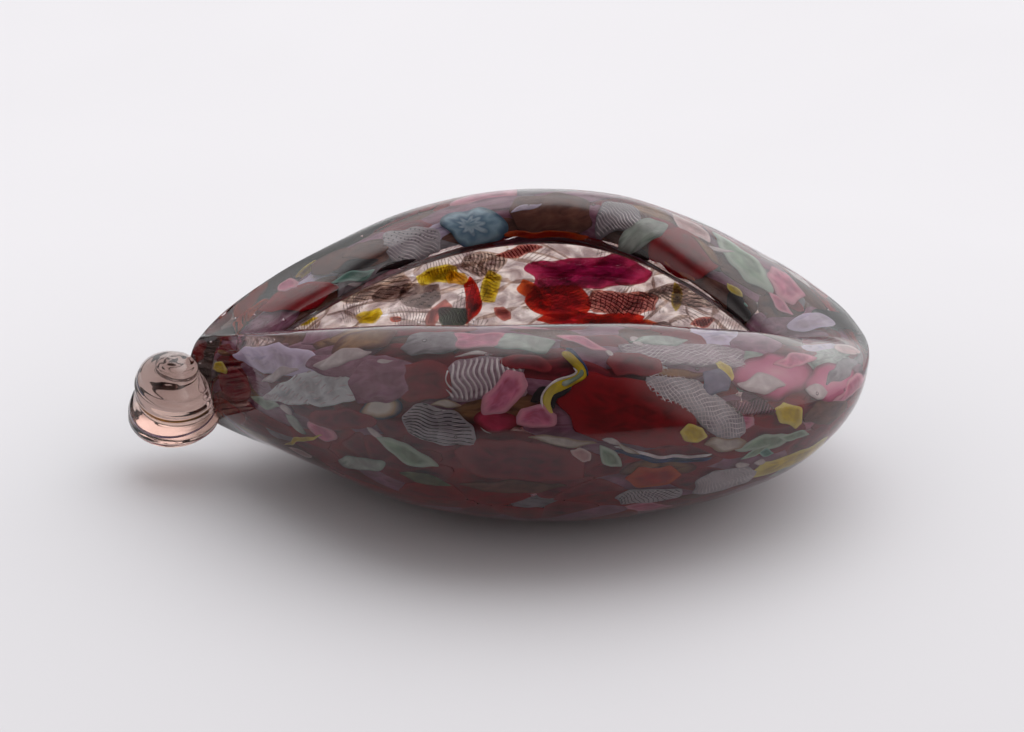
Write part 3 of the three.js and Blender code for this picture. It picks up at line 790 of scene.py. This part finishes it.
# Chips and streaks too small or too thin to be nodes of their own, by the sheet they are seen from.
CHIPS = {
    "front": [
        ("lavender_band", "oval", -120.8, 2.55, 60, 10, 0, "mauve"),
        ("grey_mauve_band", "panel", -117.6, 2.44, 29, 15, 7, "mauve"),
        ("white_fleck", "leaf", -118, 2.57, 13, 4, 20, "white"),
        ("pale_chip", "leaf", -125.6, 2.62, 30, 6, 15, "white"),
        ("fan_dash", "leaf", -138.8, 2.34, 26, 4, 18, "white", 0.6),
        ("yellow_fleck", "shard", -160, 2.3, 10, 5, -7, "yellow"),
        ("white_bead", "pebble", -136.8, 2.02, 8, 3, -14, "white"),
        ("sage_oval", "leaf", -134.4, 1.94, 13, 6, -31, "sage"),
        ("yellow_streak", "leaf", -134.8, 1.82, 40, 2, 21, "yellow", 1.5),
        ("pale_rose_chip", "leaf", -138, 1.72, 17, 6, 5, "pale_rose"),
        ("sage_cloud", "oval", -122.4, 1.8, 28, 7, 12, "sage"),
        ("leaf_tip", "leaf", -118, 2.0, 9, 3, -27, "white"),
        ("red_patch", "oval", -124.4, 2.06, 37, 8, 8, "garnet"),
        ("garnet_middle", "oval", -110.8, 2.46, 27, 15, -4, "garnet"),
        ("pink_crest_streak", "leaf", -85.2, 2.84, 20, 5, -21, "rose"),
        ("white_crest_bead", "leaf", -80.4, 2.72, 6, 2, -41, "white"),
        # white_arc is a painted highlight: a thin white chip laid where the glass shows a bright arc over the
        # herringbone slice.
        ("white_arc", "leaf", -102.4, 2.69, 15, 1.6, 0, "white", 1.2),
        ("cream_lens", "leaf", -106.4, 2.28, 12, 3, 0, "cream"),
        ("half_disc", "leaf", -100.4, 2.14, 10, 5, -20, "white"),
        ("dark_wedge", "leaf", -92, 2.36, 9, 5, 30, "dark"),
        ("cream_drip", "leaf", -89.2, 2.01, 27, 4, -8, "cream"),
        ("cream_drop", "shard", -85.6, 1.94, 9, 5, -42, "pale_rose"),
        ("tan_streak", "leaf", -97, 1.76, 42, 8, 0, "brown"),
        ("maroon_crest", "oval", -94.4, 2.62, 20, 6, -8, "garnet"),
        ("olive_streak_low", "leaf", -110.8, 1.78, 21, 7, -10, "olive"),
        ("chip_cap", "leaf", -80.8, 2.0, 8, 2.5, -13, "white"),
        ("line_start", "leaf", -77.6, 1.96, 12, 2, -27, "cream"),
        ("garnet_crest", "panel", -76, 2.62, 22, 9, 0, "garnet"),
        ("sage_crest_streak", "leaf", -70.4, 2.88, 26, 6, 2, "sage"),
        ("white_crest_chip", "pebble", -75.2, 2.87, 6, 4, -49, "white"),
        ("tan_crest_streak", "leaf", -69, 2.54, 28, 4, 0, "amber"),
        ("yellow_bead", "shard", -58.4, 2.58, 9, 5, -44, "yellow"),
        ("violet_patch", "shard", -60.8, 2.46, 13, 10, 4, "violet"),
        ("ridged_slice", "leaf", -53.6, 2.2, 26, 7, -12, "shell"),
        ("cream_patch", "shard", -59.2, 1.94, 20, 6, -10, "cream"),
        ("leaf_low", "leaf", -52, 1.86, 14, 4, 15, "green"),
        ("leaf_end", "leaf", -43, 1.9, 20, 4, -10, "green"),
        ("teal_bead", "leaf", -49.6, 1.84, 9, 4, -10, "teal"),
        ("white_chip_low", "pebble", -54.4, 1.8, 7, 3, -26, "white"),
        ("white_chip_end", "pebble", -49.6, 1.78, 6, 3, -14, "white"),
        ("pink_light", "leaf", -40, 2.66, 30, 7, 7, "rose"),
        ("pink_eye", "leaf", -51.2, 2.42, 23, 8, -2, "white"),
        ("pink_eye_middle", "leaf", -51.2, 2.42, 11, 3.5, -4, "grey"),
        ("second_eye", "leaf", -36.8, 2.26, 13, 6, -10, "white"),
        ("rose_edge_streak", "leaf", -24, 2.06, 36, 5, 3, "rose"),
        ("grey_edge_streak", "leaf", -24, 2.42, 40, 6, 5, "grey"),
        ("dark_edge_patch", "oval", -34, 1.96, 30, 9, -8, "brown"),
        ("pale_edge_bead", "oval", -12, 2.66, 16, 8, -20, "pale_rose"),
    ],
    # These chips are in the lit_ glasses, whose paler tones are painted light shining through the back wall.
    "back": [
        ("grey_cloud", "oval", 121.6, 1.92, 17, 8, 20, "lit_grey"),
        ("yellow_line", "leaf", 139.2, 2.1, 13, 3, 10, "lit_yellow"),
        ("rose_band", "ribbon", 112.4, 1.72, 16, 6, -25, "lit_rose"),
        ("red_bead", "pebble", 121.2, 1.76, 6, 3, 18, "lit_scarlet"),
        ("orange_shard_within", "shard", 107.6, 1.88, 12, 7, 9, "lit_amber"),
        ("salmon_chip", "shard", 99, 1.66, 9, 6, 31, "lit_rose"),
        ("rose_comb", "leaf", 95.2, 1.98, 23, 6, 172, "lit_rose"),
        ("ruby_mass", "pebble", 87.6, 1.71, 30, 16, 176, "lit_ruby"),
        ("orange_fold", "ribbon", 92.4, 1.74, 19, 7, 41, "lit_scarlet"),
        ("olive_spot", "leaf", 62, 1.8, 14, 6, 76, "lit_olive"),
        ("scarlet_streak", "leaf", 68.4, 1.63, 18, 4, 169, "lit_scarlet"),
        ("rose_hatch", "leaf", 54, 1.7, 12, 6, 153, "lit_rose"),
    ],
    "fold": [
        ("salmon_chip_fold", "shard", 145.6, 3.12, 9, 7, 158, "rose"),
        ("dark_streak", "leaf", 131.6, 3.5, 22, 5, 169, "dark"),
        ("green_streak", "leaf", 132.4, 3.72, 21, 4, 172, "teal"),
        ("white_speck", "leaf", 133.2, 3.9, 7, 1.6, 173, "white"),
        ("brown_patch", "leaf", 127.6, 3.34, 21, 9, 165, "brown"),
        # black_gap is painted shade: a dark chip along the lip, where the fold is in shade.
        ("black_gap", "leaf", 122.8, 3.9, 20, 3, 178, "dark"),
        ("lilac_lens", "leaf", 94.4, 3.34, 15, 2.5, 14, "lavender"),
        ("red_lip_strip", "ribbon", 90.8, 3.93, 36, 2.6, 179, "scarlet"),
        ("tan_patch", "leaf", 59.2, 2.94, 26, 10, 161, "pale_rose"),
        ("amber_edge", "leaf", 51.5, 3.24, 24, 4, 165, "amber"),
        ("white_band", "leaf", 50.8, 3.1, 15, 2.5, 30, "white"),
        ("scarlet_foot", "leaf", 55, 3.78, 22, 5, 172, "scarlet"),
        ("yellow_crescent", "leaf", 38.8, 3.52, 10, 3.4, 171, "yellow"),
        ("teal_chip", "leaf", 34.4, 3.68, 7, 3, 24, "teal"),
        # dark_hollow and dark_hollow_end are painted shade: dark chips along the lip, where the fold is in
        # shade.
        ("dark_hollow", "oval", 66, 3.9, 12, 4, 170, "dark"),
        ("dark_hollow_end", "oval", 34, 3.74, 16, 7, 165, "dark"),
        ("rose_cone", "leaf", 28.4, 3.2, 16, 5, 178, "rose"),
        ("lilac_patch", "oval", 18, 3.06, 20, 10, 74, "lavender"),
        ("dark_patch_end", "oval", 14, 2.6, 22, 14, 80, "dark"),
    ],
}
CHIP_DEPTH = {"front": 3.4, "back": 5.4, "fold": 3.4}
CHIP_THICKNESS = 0.6

THREAD_LIFT = 0.6
# Threads in the patterned pieces: turn, spacing, radius, wave, wave length, fan, dash, and their look.
WEAVES = {
    "herringbone_cane_slice": [(104, 2.0, 0.52, 0.7, 11, 1.2, 0, "white_thread")],
    "striped_cane_slice": [
        (4, 1.3, 0.2, 0.3, 14, 0.8, 0, "dark_thread"),
        (8, 1.3, 0.16, 0.2, 9, 0.5, 0, "white_thread"),
    ],
    "net_cane_ribbon": [
        (38, 1.4, 0.16, 0.2, 9, 0, 0, "white_thread"),
        (-34, 1.4, 0.16, 0.2, 9, 0, 0, "white_thread"),
    ],
    "net_cane_sheet": [
        (24, 1.4, 0.14, 0.3, 11, 0, 0, "white_thread"),
        (-22, 1.4, 0.14, 0.3, 11, 0, 0, "white_thread"),
    ],
    "low_lattice_slice": [
        (62, 1.5, 0.2, 0.4, 9, 2, 0, "white_thread"),
        (-50, 1.5, 0.18, 0.4, 9, 2, 0, "dark_thread"),
    ],
    "lattice_slice": [
        (48, 1.4, 0.17, 0.4, 9, 1.5, 0, "white_thread"),
        (-52, 1.4, 0.17, 0.4, 9, 1.5, 0, "white_thread"),
    ],
    "white_filigree_slice": [
        (14, 1.6, 0.14, 0.3, 16, 1.6, 0, "grey_thread"),
        (-40, 1.9, 0.11, 0.3, 12, 1.2, 0, "grey_thread"),
    ],
    "grey_lattice_slice": [
        (50, 1.9, 0.26, 0.2, 8, 0, 1.8, "dark_thread"),
        (-40, 1.8, 0.12, 0.2, 8, 0, 0, "grey_thread"),
    ],
    "yellow_lattice_slice": [(80, 1.8, 0.12, 0.3, 8, 2, 0, "ochre_thread")],
    "green_lattice_slice": [
        (70, 1.6, 0.16, 0.2, 8, 1, 0, "dark_thread"),
        (-20, 1.6, 0.12, 0.2, 8, 1, 0, "grey_thread"),
    ],
    "white_lattice_slice": [
        (96, 1.8, 0.13, 0.4, 10, 2.5, 0, "grey_thread"),
        (20, 2.2, 0.1, 0.3, 12, 2, 0, "grey_thread"),
    ],
    "yellow_net_slice": [(84, 1.6, 0.12, 0.2, 8, 2, 0, "ochre_thread")],
    "rose_lattice_slice": [
        (24, 1.6, 0.14, 0.3, 14, 0.8, 0, "red_thread"),
        (-70, 2.2, 0.1, 0.2, 8, 1, 0, "red_thread"),
    ],
    "cream_lattice_slice": [
        (20, 1.5, 0.13, 0.3, 12, 1.6, 0, "grey_thread"),
        (-34, 1.7, 0.1, 0.3, 12, 1.6, 0, "grey_thread"),
    ],
    "net_fold_slice": [
        (40, 1.5, 0.26, 0.2, 8, 0, 1.8, "dark_thread"),
        (-30, 1.3, 0.2, 0.3, 9, 0, 0, "white_thread"),
    ],
    "dark_lattice_slice": [
        (40, 1.2, 0.24, 0.2, 6, 0, 1.2, "dark_thread"),
        (-50, 1.2, 0.18, 0.2, 6, 0, 0, "white_thread"),
    ],
    "pale_blue_fan": [(14, 2.2, 0.25, 0.3, 16, 3, 5.0, "white_thread")],
    "rose_comb": [(60, 1.3, 0.22, 0.1, 9, 0, 0, "red_thread")],
    "rose_hatch": [(60, 1.3, 0.2, 0.1, 9, 0, 0, "red_thread")],
    "ridged_slice": [(80, 1.4, 0.3, 0.2, 9, 1.5, 0, "mauve")],
    "olive_spot": [(70, 1.3, 0.24, 0.2, 9, 0, 1.5, "dark_thread")],
}


# Pieces that lie over their neighbours, nearer to the side that they are seen from.
OVER = {
    "rose_shard": 2.7, "white_rose_chip": 3.0, "pink_shard": 2.9, "green_leaf_shard": 3.2, "yellow_chip": 2.8,
    "yellow_shard": 3.0, "lattice_slice": 3.2, "sage_fold_shard": 3.0, "ruby_fold_panel": 3.6,
    "red_shard": 5.0, "ruby_mass": 3.2, "yellow_net_slice": 4.7, "yellow_lattice_slice": 4.8,
    "magenta_panel": 4.6,
}


def woven(piece, by_look):
    """Adds the piece's threads, just under its two faces, to the parts of each thread's look."""
    for turn, spacing, radius, wave, wave_length, fan, dash, look in WEAVES.get(piece.name, []):
        for lift in (THREAD_LIFT, -THREAD_LIFT):
            threads = by_look.setdefault(look, Parts())
            add_threads(threads, piece, turn, spacing, radius, wave, wave_length, fan, dash, lift)


# How uneven the outline of a slice is, where it is more than the others.
UNEVEN = {"blue_flower_slice": 0.22, "white_lattice_slice": 0.14}


def build_inlays():
    """The inlaid pieces that are nodes of the part, each with its own threads."""
    for name, outline, degrees, level, length, width, turn, look, *bend in INLAYS:
        piece = Piece(name, outline, degrees, level, length, width, turn, *bend)
        piece.depth = OVER.get(name, INLAY_DEPTH)
        piece.wobble = UNEVEN.get(name, WOBBLE)
        parts = Parts()
        add_plate(parts, piece)
        finished(parts, name + "_glass", look, [name])
        threads = {}
        woven(piece, threads)
        finish_all(threads, name + "_")


def add_chip(plates, piece, look):
    add_plate(plates.setdefault(look, Parts()), piece, CHIP_THICKNESS, rings=6, segments=40)


def finish_all(by_look, prefix):
    for look, parts in by_look.items():
        if parts.count:
            finished(parts, prefix + look, look)


def build_chips():
    """The small chips and streaks, nearer to the side that they are seen from, gathered by their glass."""
    plates = {}
    threads = {}
    for sheet, chips in CHIPS.items():
        for name, outline, degrees, level, length, width, turn, look, *bend in chips:
            stray = random.Random(name).uniform(-0.25, 0.25)
            piece = Piece(name, outline, degrees, level, length, width, turn, *bend)
            piece.depth = OVER.get(name, CHIP_DEPTH[sheet] + stray)
            add_chip(plates, piece, look)
            woven(piece, threads)
    finish_all(plates, "chips_")
    finish_all(threads, "chip_threads_")


BACK_LOOKS = [
    "ruby", "sage", "pink", "white", "yellow", "lavender", "scarlet", "green", "blue", "rose", "magenta",
]
BACK_LEVELS = [0.8, 1.08, 2.32, 2.56]
BACK_START = 22
BACK_SPAN = 136


def build_back_chips(columns=9):
    """Slices in the back wall above and below the part seen through the mouth, in the same glasses."""
    draw = random.Random(31)
    plates = {}
    for level in BACK_LEVELS:
        for k in range(columns):
            degrees = BACK_START + (k + draw.uniform(0.2, 0.8)) * BACK_SPAN / columns
            outline = draw.choice(["pebble", "shard", "leaf", "oval", "panel"])
            size = (draw.uniform(13, 24), draw.uniform(6, 11))
            turn = draw.uniform(-30, 30)
            piece = Piece(f"back_{level}_{k}", outline, degrees, level, *size, turn, 0, CHIP_DEPTH["front"])
            add_chip(plates, piece, draw.choice(BACK_LOOKS))
    finish_all(plates, "back_chips_")


# Each row of fans in the back wall: its level, and how many there are.
LACE_ROWS = [(1.25, 7), (1.5, 9), (1.74, 11), (1.97, 11)]
LACE_START = 28
LACE_SPAN = 126
LACE_DEPTH = 3.0


def build_lace():
    """Fans and nets of fine grey threads all over the back wall, between and behind its slices."""
    draw = random.Random(7)
    threads = Parts()
    for level, count in LACE_ROWS:
        for k in range(count):
            degrees = LACE_START + (k + 0.5 + draw.uniform(-0.3, 0.3)) * LACE_SPAN / count
            outline = draw.choice(["pebble", "shard", "fan", "leaf"])
            size = (draw.uniform(22, 32), draw.uniform(12, 17))
            facing = draw.uniform(0, 180)
            piece = Piece(f"lace_{level}_{k}", outline, degrees, level, *size, facing, 0, LACE_DEPTH)
            turn = draw.uniform(-90, 90)
            fan = draw.uniform(1.2, 3.5)
            add_threads(threads, piece, turn, draw.uniform(1.4, 1.9), 0.12, 0.4, 13, fan)
            if draw.random() < 0.4:
                add_threads(threads, piece, turn + draw.uniform(45, 80), 2.1, 0.1, 0.3, 10, 0.6, lift=0.4)
    finished(threads, "wall_lace", "grey_thread")


# The wave cane's run: share of the way down it, and share of the way to its right.
WAVE_RUN = [
    (-1, -0.2), (-0.79, 0.3), (-0.4, 0.9), (-0.14, 0.75),
    (0.02, -0.1), (0.33, -0.85), (0.8, -0.85), (1, -0.5),
]
# Its lines: look, place beside the middle, half width, half height, lift, and where they start and stop.
WAVE_LINES = [
    ("yellow", 0.0, 1.8, 0.6, 0.2, 0, 1),
    ("green", 0.2, 0.9, 0.65, 0.9, 0.3, 0.6),
    ("white_thread", 2.1, 0.45, 0.5, 0.2, 0.2, 1),
    ("navy", -2.0, 0.6, 0.5, 0.2, 0, 0.35),
    ("dark_thread", -2.1, 1.0, 0.5, 0.2, 0.5, 0.95),
]


def build_wave_cane():
    """A cane bent to and fro, yellow with a green middle, and a white and two dark lines beside it."""
    piece = Piece("wave_cane", "oval", -88.2, 2.46, 23, 14, -94, depth=3.0)
    knots = np.array(WAVE_RUN) * piece.half
    reach = np.concatenate([[0], np.cumsum(np.hypot(*np.diff(knots, axis=0).T))])
    s = np.linspace(0, 1, 61)
    u, v = (np.interp(s * reach[-1], reach, knot) for knot in knots.T)
    for _ in range(18):
        u[1:-1] = (u[:-2] + 2 * u[1:-1] + u[2:]) / 4
        v[1:-1] = (v[:-2] + 2 * v[1:-1] + v[2:]) / 4
    du, dv = np.gradient(u), np.gradient(v)
    size = np.hypot(du, dv)
    for look, shift, width, height, lift, start, stop in WAVE_LINES:
        here = (s >= start) & (s <= stop)
        share = np.linspace(-1, 1, here.sum())
        taper = np.sqrt(np.maximum(0, 1 - share**6))
        side_u = (u - dv / size * -shift)[here]
        side_v = (v + du / size * -shift)[here]
        parts = Parts()
        add_cane(parts, piece, side_u, side_v, width * taper, height * taper, 10, lift)
        finished(parts, "wave_cane_" + look, look, ["wave_cane"] if look == "yellow" else [])


def build_line_cane():
    """A white line with a blue one below it."""
    piece = Piece("blue_line_cane", "oval", -71, 1.92, 40, 4, -10)
    s = np.linspace(-1, 1, 36)
    u = s * piece.half[0]
    taper = np.sqrt(np.maximum(0, 1 - s**6))
    for look, shift, width in (("white_thread", 0.8, 0.7), ("navy", -0.9, 1.0)):
        parts = Parts()
        add_cane(parts, piece, u, shift - 1.8 + 2.2 * s**2, width * taper, 0.5 * taper, 10)
        finished(parts, "blue_line_cane_" + look, look, ["blue_line_cane"] if shift > 0 else [])


def build_bubbles(count=70):
    """Bubbles of air caught in the casing."""
    draw = random.Random(11)
    parts = Parts()
    steps = np.linspace(0, math.pi, 9)
    turns = circle(12)
    down = steps[:, None]
    ball = together(np.sin(down) * np.cos(turns)[None], np.sin(down) * np.sin(turns)[None], np.cos(down))
    for _ in range(count):
        level = draw.choice([draw.uniform(1.3, 3), draw.uniform(3, 3.9)])
        place = wall_point(math.radians(draw.uniform(-175, 175)), level, draw.uniform(1.6, 2.8))
        rows = place + draw.uniform(0.3, 0.75) * ball * np.array([draw.uniform(1, 1.6), 1, 1])
        parts.add_rows(rows, rows[..., :2], rows[..., :2] * 0)
    finished(parts, "bubbles", "bubble")


# ---- The ground between the inlaid pieces: a patchwork of shards in a deeper layer ----
# Heights up the patchwork in millimetres, and the levels of the wall that they lie at.
HEIGHTS = [-30, 0, 105, 156, 180]
LEVELS = [0.35, 1, 2, 3, 4]
ROUND = 122.0  # millimetres along the ground for each radian round the bowl


def cell_corners(seed, others, reach):
    """The corners of the region nearer to a seed than to the others."""
    square = ((-1, -1), (1, -1), (1, 1), (-1, 1))
    corners = [reach * np.array(corner, float) for corner in square]
    for other in others:
        offset = other - seed
        limit = offset @ offset / 2
        kept = []
        for a, b in zip(corners, corners[1:] + corners[:1]):
            inside_a, inside_b = a @ offset <= limit, b @ offset <= limit
            if inside_a:
                kept.append(a)
            if inside_a != inside_b:
                share = (limit - a @ offset) / ((b - a) @ offset)
                kept.append(a + (b - a) * share)
        corners = kept
        if len(corners) < 3:
            return []
    return corners


# The part of the back wall that is seen through the mouth, in degrees and levels.
WINDOW = {"start": 20, "stop": 160, "low": 1.0, "high": 2.14}


def in_window(degrees, level):
    """Whether a place is on the back wall, which is pale and seen through the mouth."""
    return WINDOW["start"] < degrees < WINDOW["stop"] and WINDOW["low"] < level < WINDOW["high"]


# The shares of the glasses in the ground, by where it lies.
WINDOW_GROUND = {"shell": 66, "haze": 22, "lit_rose": 4, "lit_ruby": 1, "lit_grey": 5, "lit_olive": 2}
FOLD_GROUND = {
    "mauve": 38, "grey": 8, "brown": 20, "garnet": 20, "rose": 6, "lavender": 5, "ruby": 4, "amber": 4,
}
SIDE_GROUND = {
    "garnet": 48, "ruby": 14, "brown": 6, "mauve": 18, "grey": 3, "rose": 4, "sage": 2, "amber": 3,
}
FOLD_LEVEL = 2.75


def ground_look(degrees, level, draw):
    """The glass of one ground shard, by where it lies."""
    mixture = FOLD_GROUND if level > FOLD_LEVEL else SIDE_GROUND
    if in_window(degrees, level):
        mixture = WINDOW_GROUND
    return draw.choices(list(mixture), list(mixture.values()))[0]


def build_ground(spacing=(22.0, 8.5)):
    """Shards round uneven places all over the wall, each reaching half way to its neighbours."""
    draw = random.Random(20)
    columns = int(2 * math.pi * ROUND / spacing[0])
    rows = int((HEIGHTS[-1] - HEIGHTS[0]) / spacing[1])
    around = 2 * math.pi * ROUND
    seeds = []
    for row in range(rows):
        for column in range(columns):
            x = (column + 0.5 * (row % 2) + draw.uniform(-0.45, 0.45)) * around / columns
            y = HEIGHTS[0] + (row + 0.5 + draw.uniform(-0.45, 0.45)) * spacing[1]
            if draw.random() > 0.25:
                seeds.append((x, y))
    seeds = np.array(seeds)
    squash = np.array([spacing[1] / spacing[0], 1.0])
    grouped = {}
    for x, y in seeds:
        warped_x, warped_y = warped(x, y)
        degrees = math.degrees(warped_x / ROUND)
        degrees = degrees - 360 if degrees > 180 else degrees
        level = np.interp(warped_y, HEIGHTS, LEVELS)
        look = ground_look(degrees, level, draw)
        tone = (draw.uniform(0, 400), draw.uniform(0, 400))
        offset = seeds - (x, y)
        offset[:, 0] = (offset[:, 0] + around / 2) % around - around / 2
        near = offset[(np.abs(offset[:, 0]) < 3 * spacing[0]) & (np.abs(offset[:, 1]) < 3 * spacing[1])]
        near = near[np.abs(near).sum(1) > 1e-6] * squash
        corners = cell_corners(np.zeros(2), near, 3 * spacing[1])
        if len(corners) < 3:
            continue
        depth = (WINDOW_DEPTH if in_window(degrees, level) else GROUND_DEPTH) + draw.uniform(-0.5, 0.5)
        add_cell(grouped.setdefault(look, Parts()), (x, y), np.array(corners) / squash, tone, depth)
    finish_all(grouped, "ground_")


def warped(x, y):
    """Drags the patchwork to and fro, as the glass was when the bowl was swung and folded."""
    far = x / ROUND
    down = np.sin(5 * far + y / 31) * 6 + np.sin(11 * far - y / 17 + 1) * 3.5
    along = np.sin(4 * far + y / 19) * 7 + np.sin(7 * far - y / 11 + 2) * 4
    return x + along, np.clip(y + down * np.clip((y + 30) / 60, 0, 1), HEIGHTS[0], HEIGHTS[-1] - 2)


def add_cell(parts, seed, corners, tone, depth, lap=1.1, thickness=0.7, segments=40):
    """One ground shard: a plate with rounded corners that follows the wall and laps over its neighbours."""
    middle = corners.mean(0)
    turns = circle(segments)
    reach = polygon_reach(corners - middle, turns)
    soft = (np.roll(reach, 1) + 2 * reach + np.roll(reach, -1)) / 4 + lap
    outwards = [0, 0.35, 0.65, 0.85, 0.96]
    steps = np.array(outwards + [1] + outwards[::-1])
    side = np.repeat([1, 0, -1], [5, 1, 5])
    lift = side * thickness / 2 * np.sqrt(1 - steps**5)
    x, y = warped(
        seed[0] + middle[0] + steps[:, None] * (soft * np.cos(turns))[None],
        seed[1] + middle[1] + steps[:, None] * (soft * np.sin(turns))[None],
    )
    level = np.interp(y, HEIGHTS, LEVELS)
    rows = wall_point(x / ROUND, level, depth - lift[:, None])
    flat = np.stack([x + tone[0], y + tone[1]], -1)
    rim = together(steps[:, None], (turns / (2 * math.pi))[None])
    parts.add_rows(rows, flat, rim)


# ---- Studio ----
FLOOR = {"left": -4.0, "right": 4.0, "front": -0.42, "back": 4.0}
# Where the painted shade on the floor's tone ends, going backwards from its front edge.
PAINTED_SHADE_END = 0.25


def build_floor():
    """Pale paper under the bowl; it ends in front, so the bowl mirrors the dark studio beyond it. Its tone
    darkens towards that front edge: painted shade, for the light falling off there.
    """
    mesh = bpy.data.meshes.new("studio_floor")
    left, right, front, back = FLOOR.values()
    corners = [(left, front, 0), (right, front, 0), (right, back, 0), (left, back, 0)]
    mesh.from_pydata(corners, [], [(0, 1, 2, 3)])
    look = Look("floor")
    place = look.node("TexCoord").outputs["Object"]
    grain = look.ramp(look.noise(place, 3.0), [(0.3, "e8e7e9"), (0.7, "ebeaec")])
    backwards = look.node("SeparateXYZ", {0: place}).outputs["Y"]
    away = look.node("MapRange", {"Value": backwards, "From Min": front, "From Max": PAINTED_SHADE_END})
    # Painted shade: the paper's tone darkens towards its front edge, standing in for the light falling off
    # there.
    painted_floor_shade = look.ramp(away.outputs[0], [(0.0, "8c8c8c"), (0.33, "dadadb"), (1.0, "e5e5e6")])
    colour = look.blend(1.0, grain, painted_floor_shade, "MULTIPLY")
    body = look.node("BsdfPrincipled", {"Base Color": colour, "Roughness": 0.8, "Specular IOR Level": 0.2})
    mesh.materials.append(look.surface(body.outputs[0]))
    floor = bpy.data.objects.new("studio_floor", mesh)
    bpy.context.scene.collection.objects.link(floor)


# The big soft lights: the way to the middle of each, how wide it spreads (the cosines where it starts and is
# full), and its strength. The bowl mirrors a dark studio in front; the light at its sides is a little warm.
BEHIND_LIGHT = ((0.2, 0.72, 0.66), 0.3, 0.85, 1.5)
TOP_LIGHT = ((0.22, 0.36, 0.91), 0.8, 0.97, 1.6)
RIGHT_LIGHT = ((0.93, -0.16, 0.30), 0.6, 0.97, 1.75)
LEFT_LIGHT = ((-0.89, -0.2, 0.40), 0.65, 0.97, 0.85)
FRONT_GLOW = 0.08
COOL = (0.985, 0.99, 1.0, 1)
WARM = (1.0, 0.93, 0.925, 1)
PAPER = (0.855, 0.855, 0.86, 1)


def build_world():
    """Big soft lights, a bright wall behind and a dark studio in front; the camera itself sees pale paper."""
    world = bpy.data.worlds.new("studio_light")
    bpy.context.scene.world = world
    world.use_nodes = True
    tree = world.node_tree
    tree.nodes.clear()
    way = add_node(tree, "TexCoord").outputs["Generated"]

    def lobe(light, least=0.0):
        """Light that grows smoothly from least to full as the way looked comes nearer to the light's own."""
        direction, start, stop, most = light
        inputs = {0: way, 1: unit(np.array(direction))}
        along = add_node(tree, "VectorMath", inputs, operation="DOT_PRODUCT").outputs["Value"]
        inputs = {"Value": along, "From Min": start, "From Max": stop, "To Min": least, "To Max": most}
        return add_node(tree, "MapRange", inputs, interpolation_type="SMOOTHSTEP").outputs[0]

    def background(colour, first, second):
        """A background of one colour, as strong as two lobes together."""
        strength = add_node(tree, "Math", {0: first, 1: second}).outputs[0]
        return add_node(tree, "Background", {"Color": colour, "Strength": strength}).outputs[0]

    cool = background(COOL, lobe(BEHIND_LIGHT, FRONT_GLOW), lobe(TOP_LIGHT))
    warm = background(WARM, lobe(RIGHT_LIGHT), lobe(LEFT_LIGHT))
    studio = add_node(tree, "AddShader", {0: cool, 1: warm}).outputs[0]
    seen = add_node(tree, "Background", {"Color": PAPER, "Strength": 1.0}).outputs[0]
    by_camera = add_node(tree, "LightPath").outputs["Is Camera Ray"]
    choice = add_node(tree, "MixShader", {0: by_camera, 1: studio, 2: seen}).outputs[0]
    add_node(tree, "OutputWorld", {"Surface": choice})


ELEVATION = math.radians(25)
CAMERA_TARGET = np.array([-16.0, 0.0, 45.5])
CAMERA_DISTANCE = 1000


def build_camera():
    """The photograph's view: straight along +Y, from 25 degrees above the horizontal."""
    backwards = np.array([0, -math.cos(ELEVATION), math.sin(ELEVATION)])
    data = bpy.data.cameras.new("camera")
    data.lens = 85
    data.sensor_width = 36
    camera = bpy.data.objects.new("camera", data)
    camera.location = (CAMERA_TARGET + CAMERA_DISTANCE * backwards) * MM
    camera.rotation_euler = (math.pi / 2 - ELEVATION, 0, 0)
    bpy.context.scene.collection.objects.link(camera)
    bpy.context.scene.camera = camera


# Threads round the knob: name, look, shares of the way down, turns, radius, how far they stand off, node.
KNOB_THREADS = [
    ("coil_ochre_thread", "ochre_thread", (0.42, 0.56), (0.45, 0.95), 0.55, -0.6, ["coil_thread"]),
    ("coil_pink_thread", "rose", (0.74, 0.78), (0.48, 1.02), 0.35, -0.5, []),
    ("coil_lilac_thread", "lavender", (0.62, 0.68), (0.48, 1.02), 0.5, -0.9, []),
    ("coil_grey_thread", "navy", (0.3, 0.36), (0.42, 0.62), 0.45, -1.2, []),
]


def main():
    bpy.context.scene.view_settings.view_transform = "Standard"
    build_wall()
    build_coil()
    for thread in KNOB_THREADS:
        build_knob_thread(*thread)
    build_inlays()
    build_chips()
    build_back_chips()
    build_wave_cane()
    build_line_cane()
    build_ground()
    build_lace()
    build_bubbles()
    build_floor()
    build_world()
    build_camera()


main()
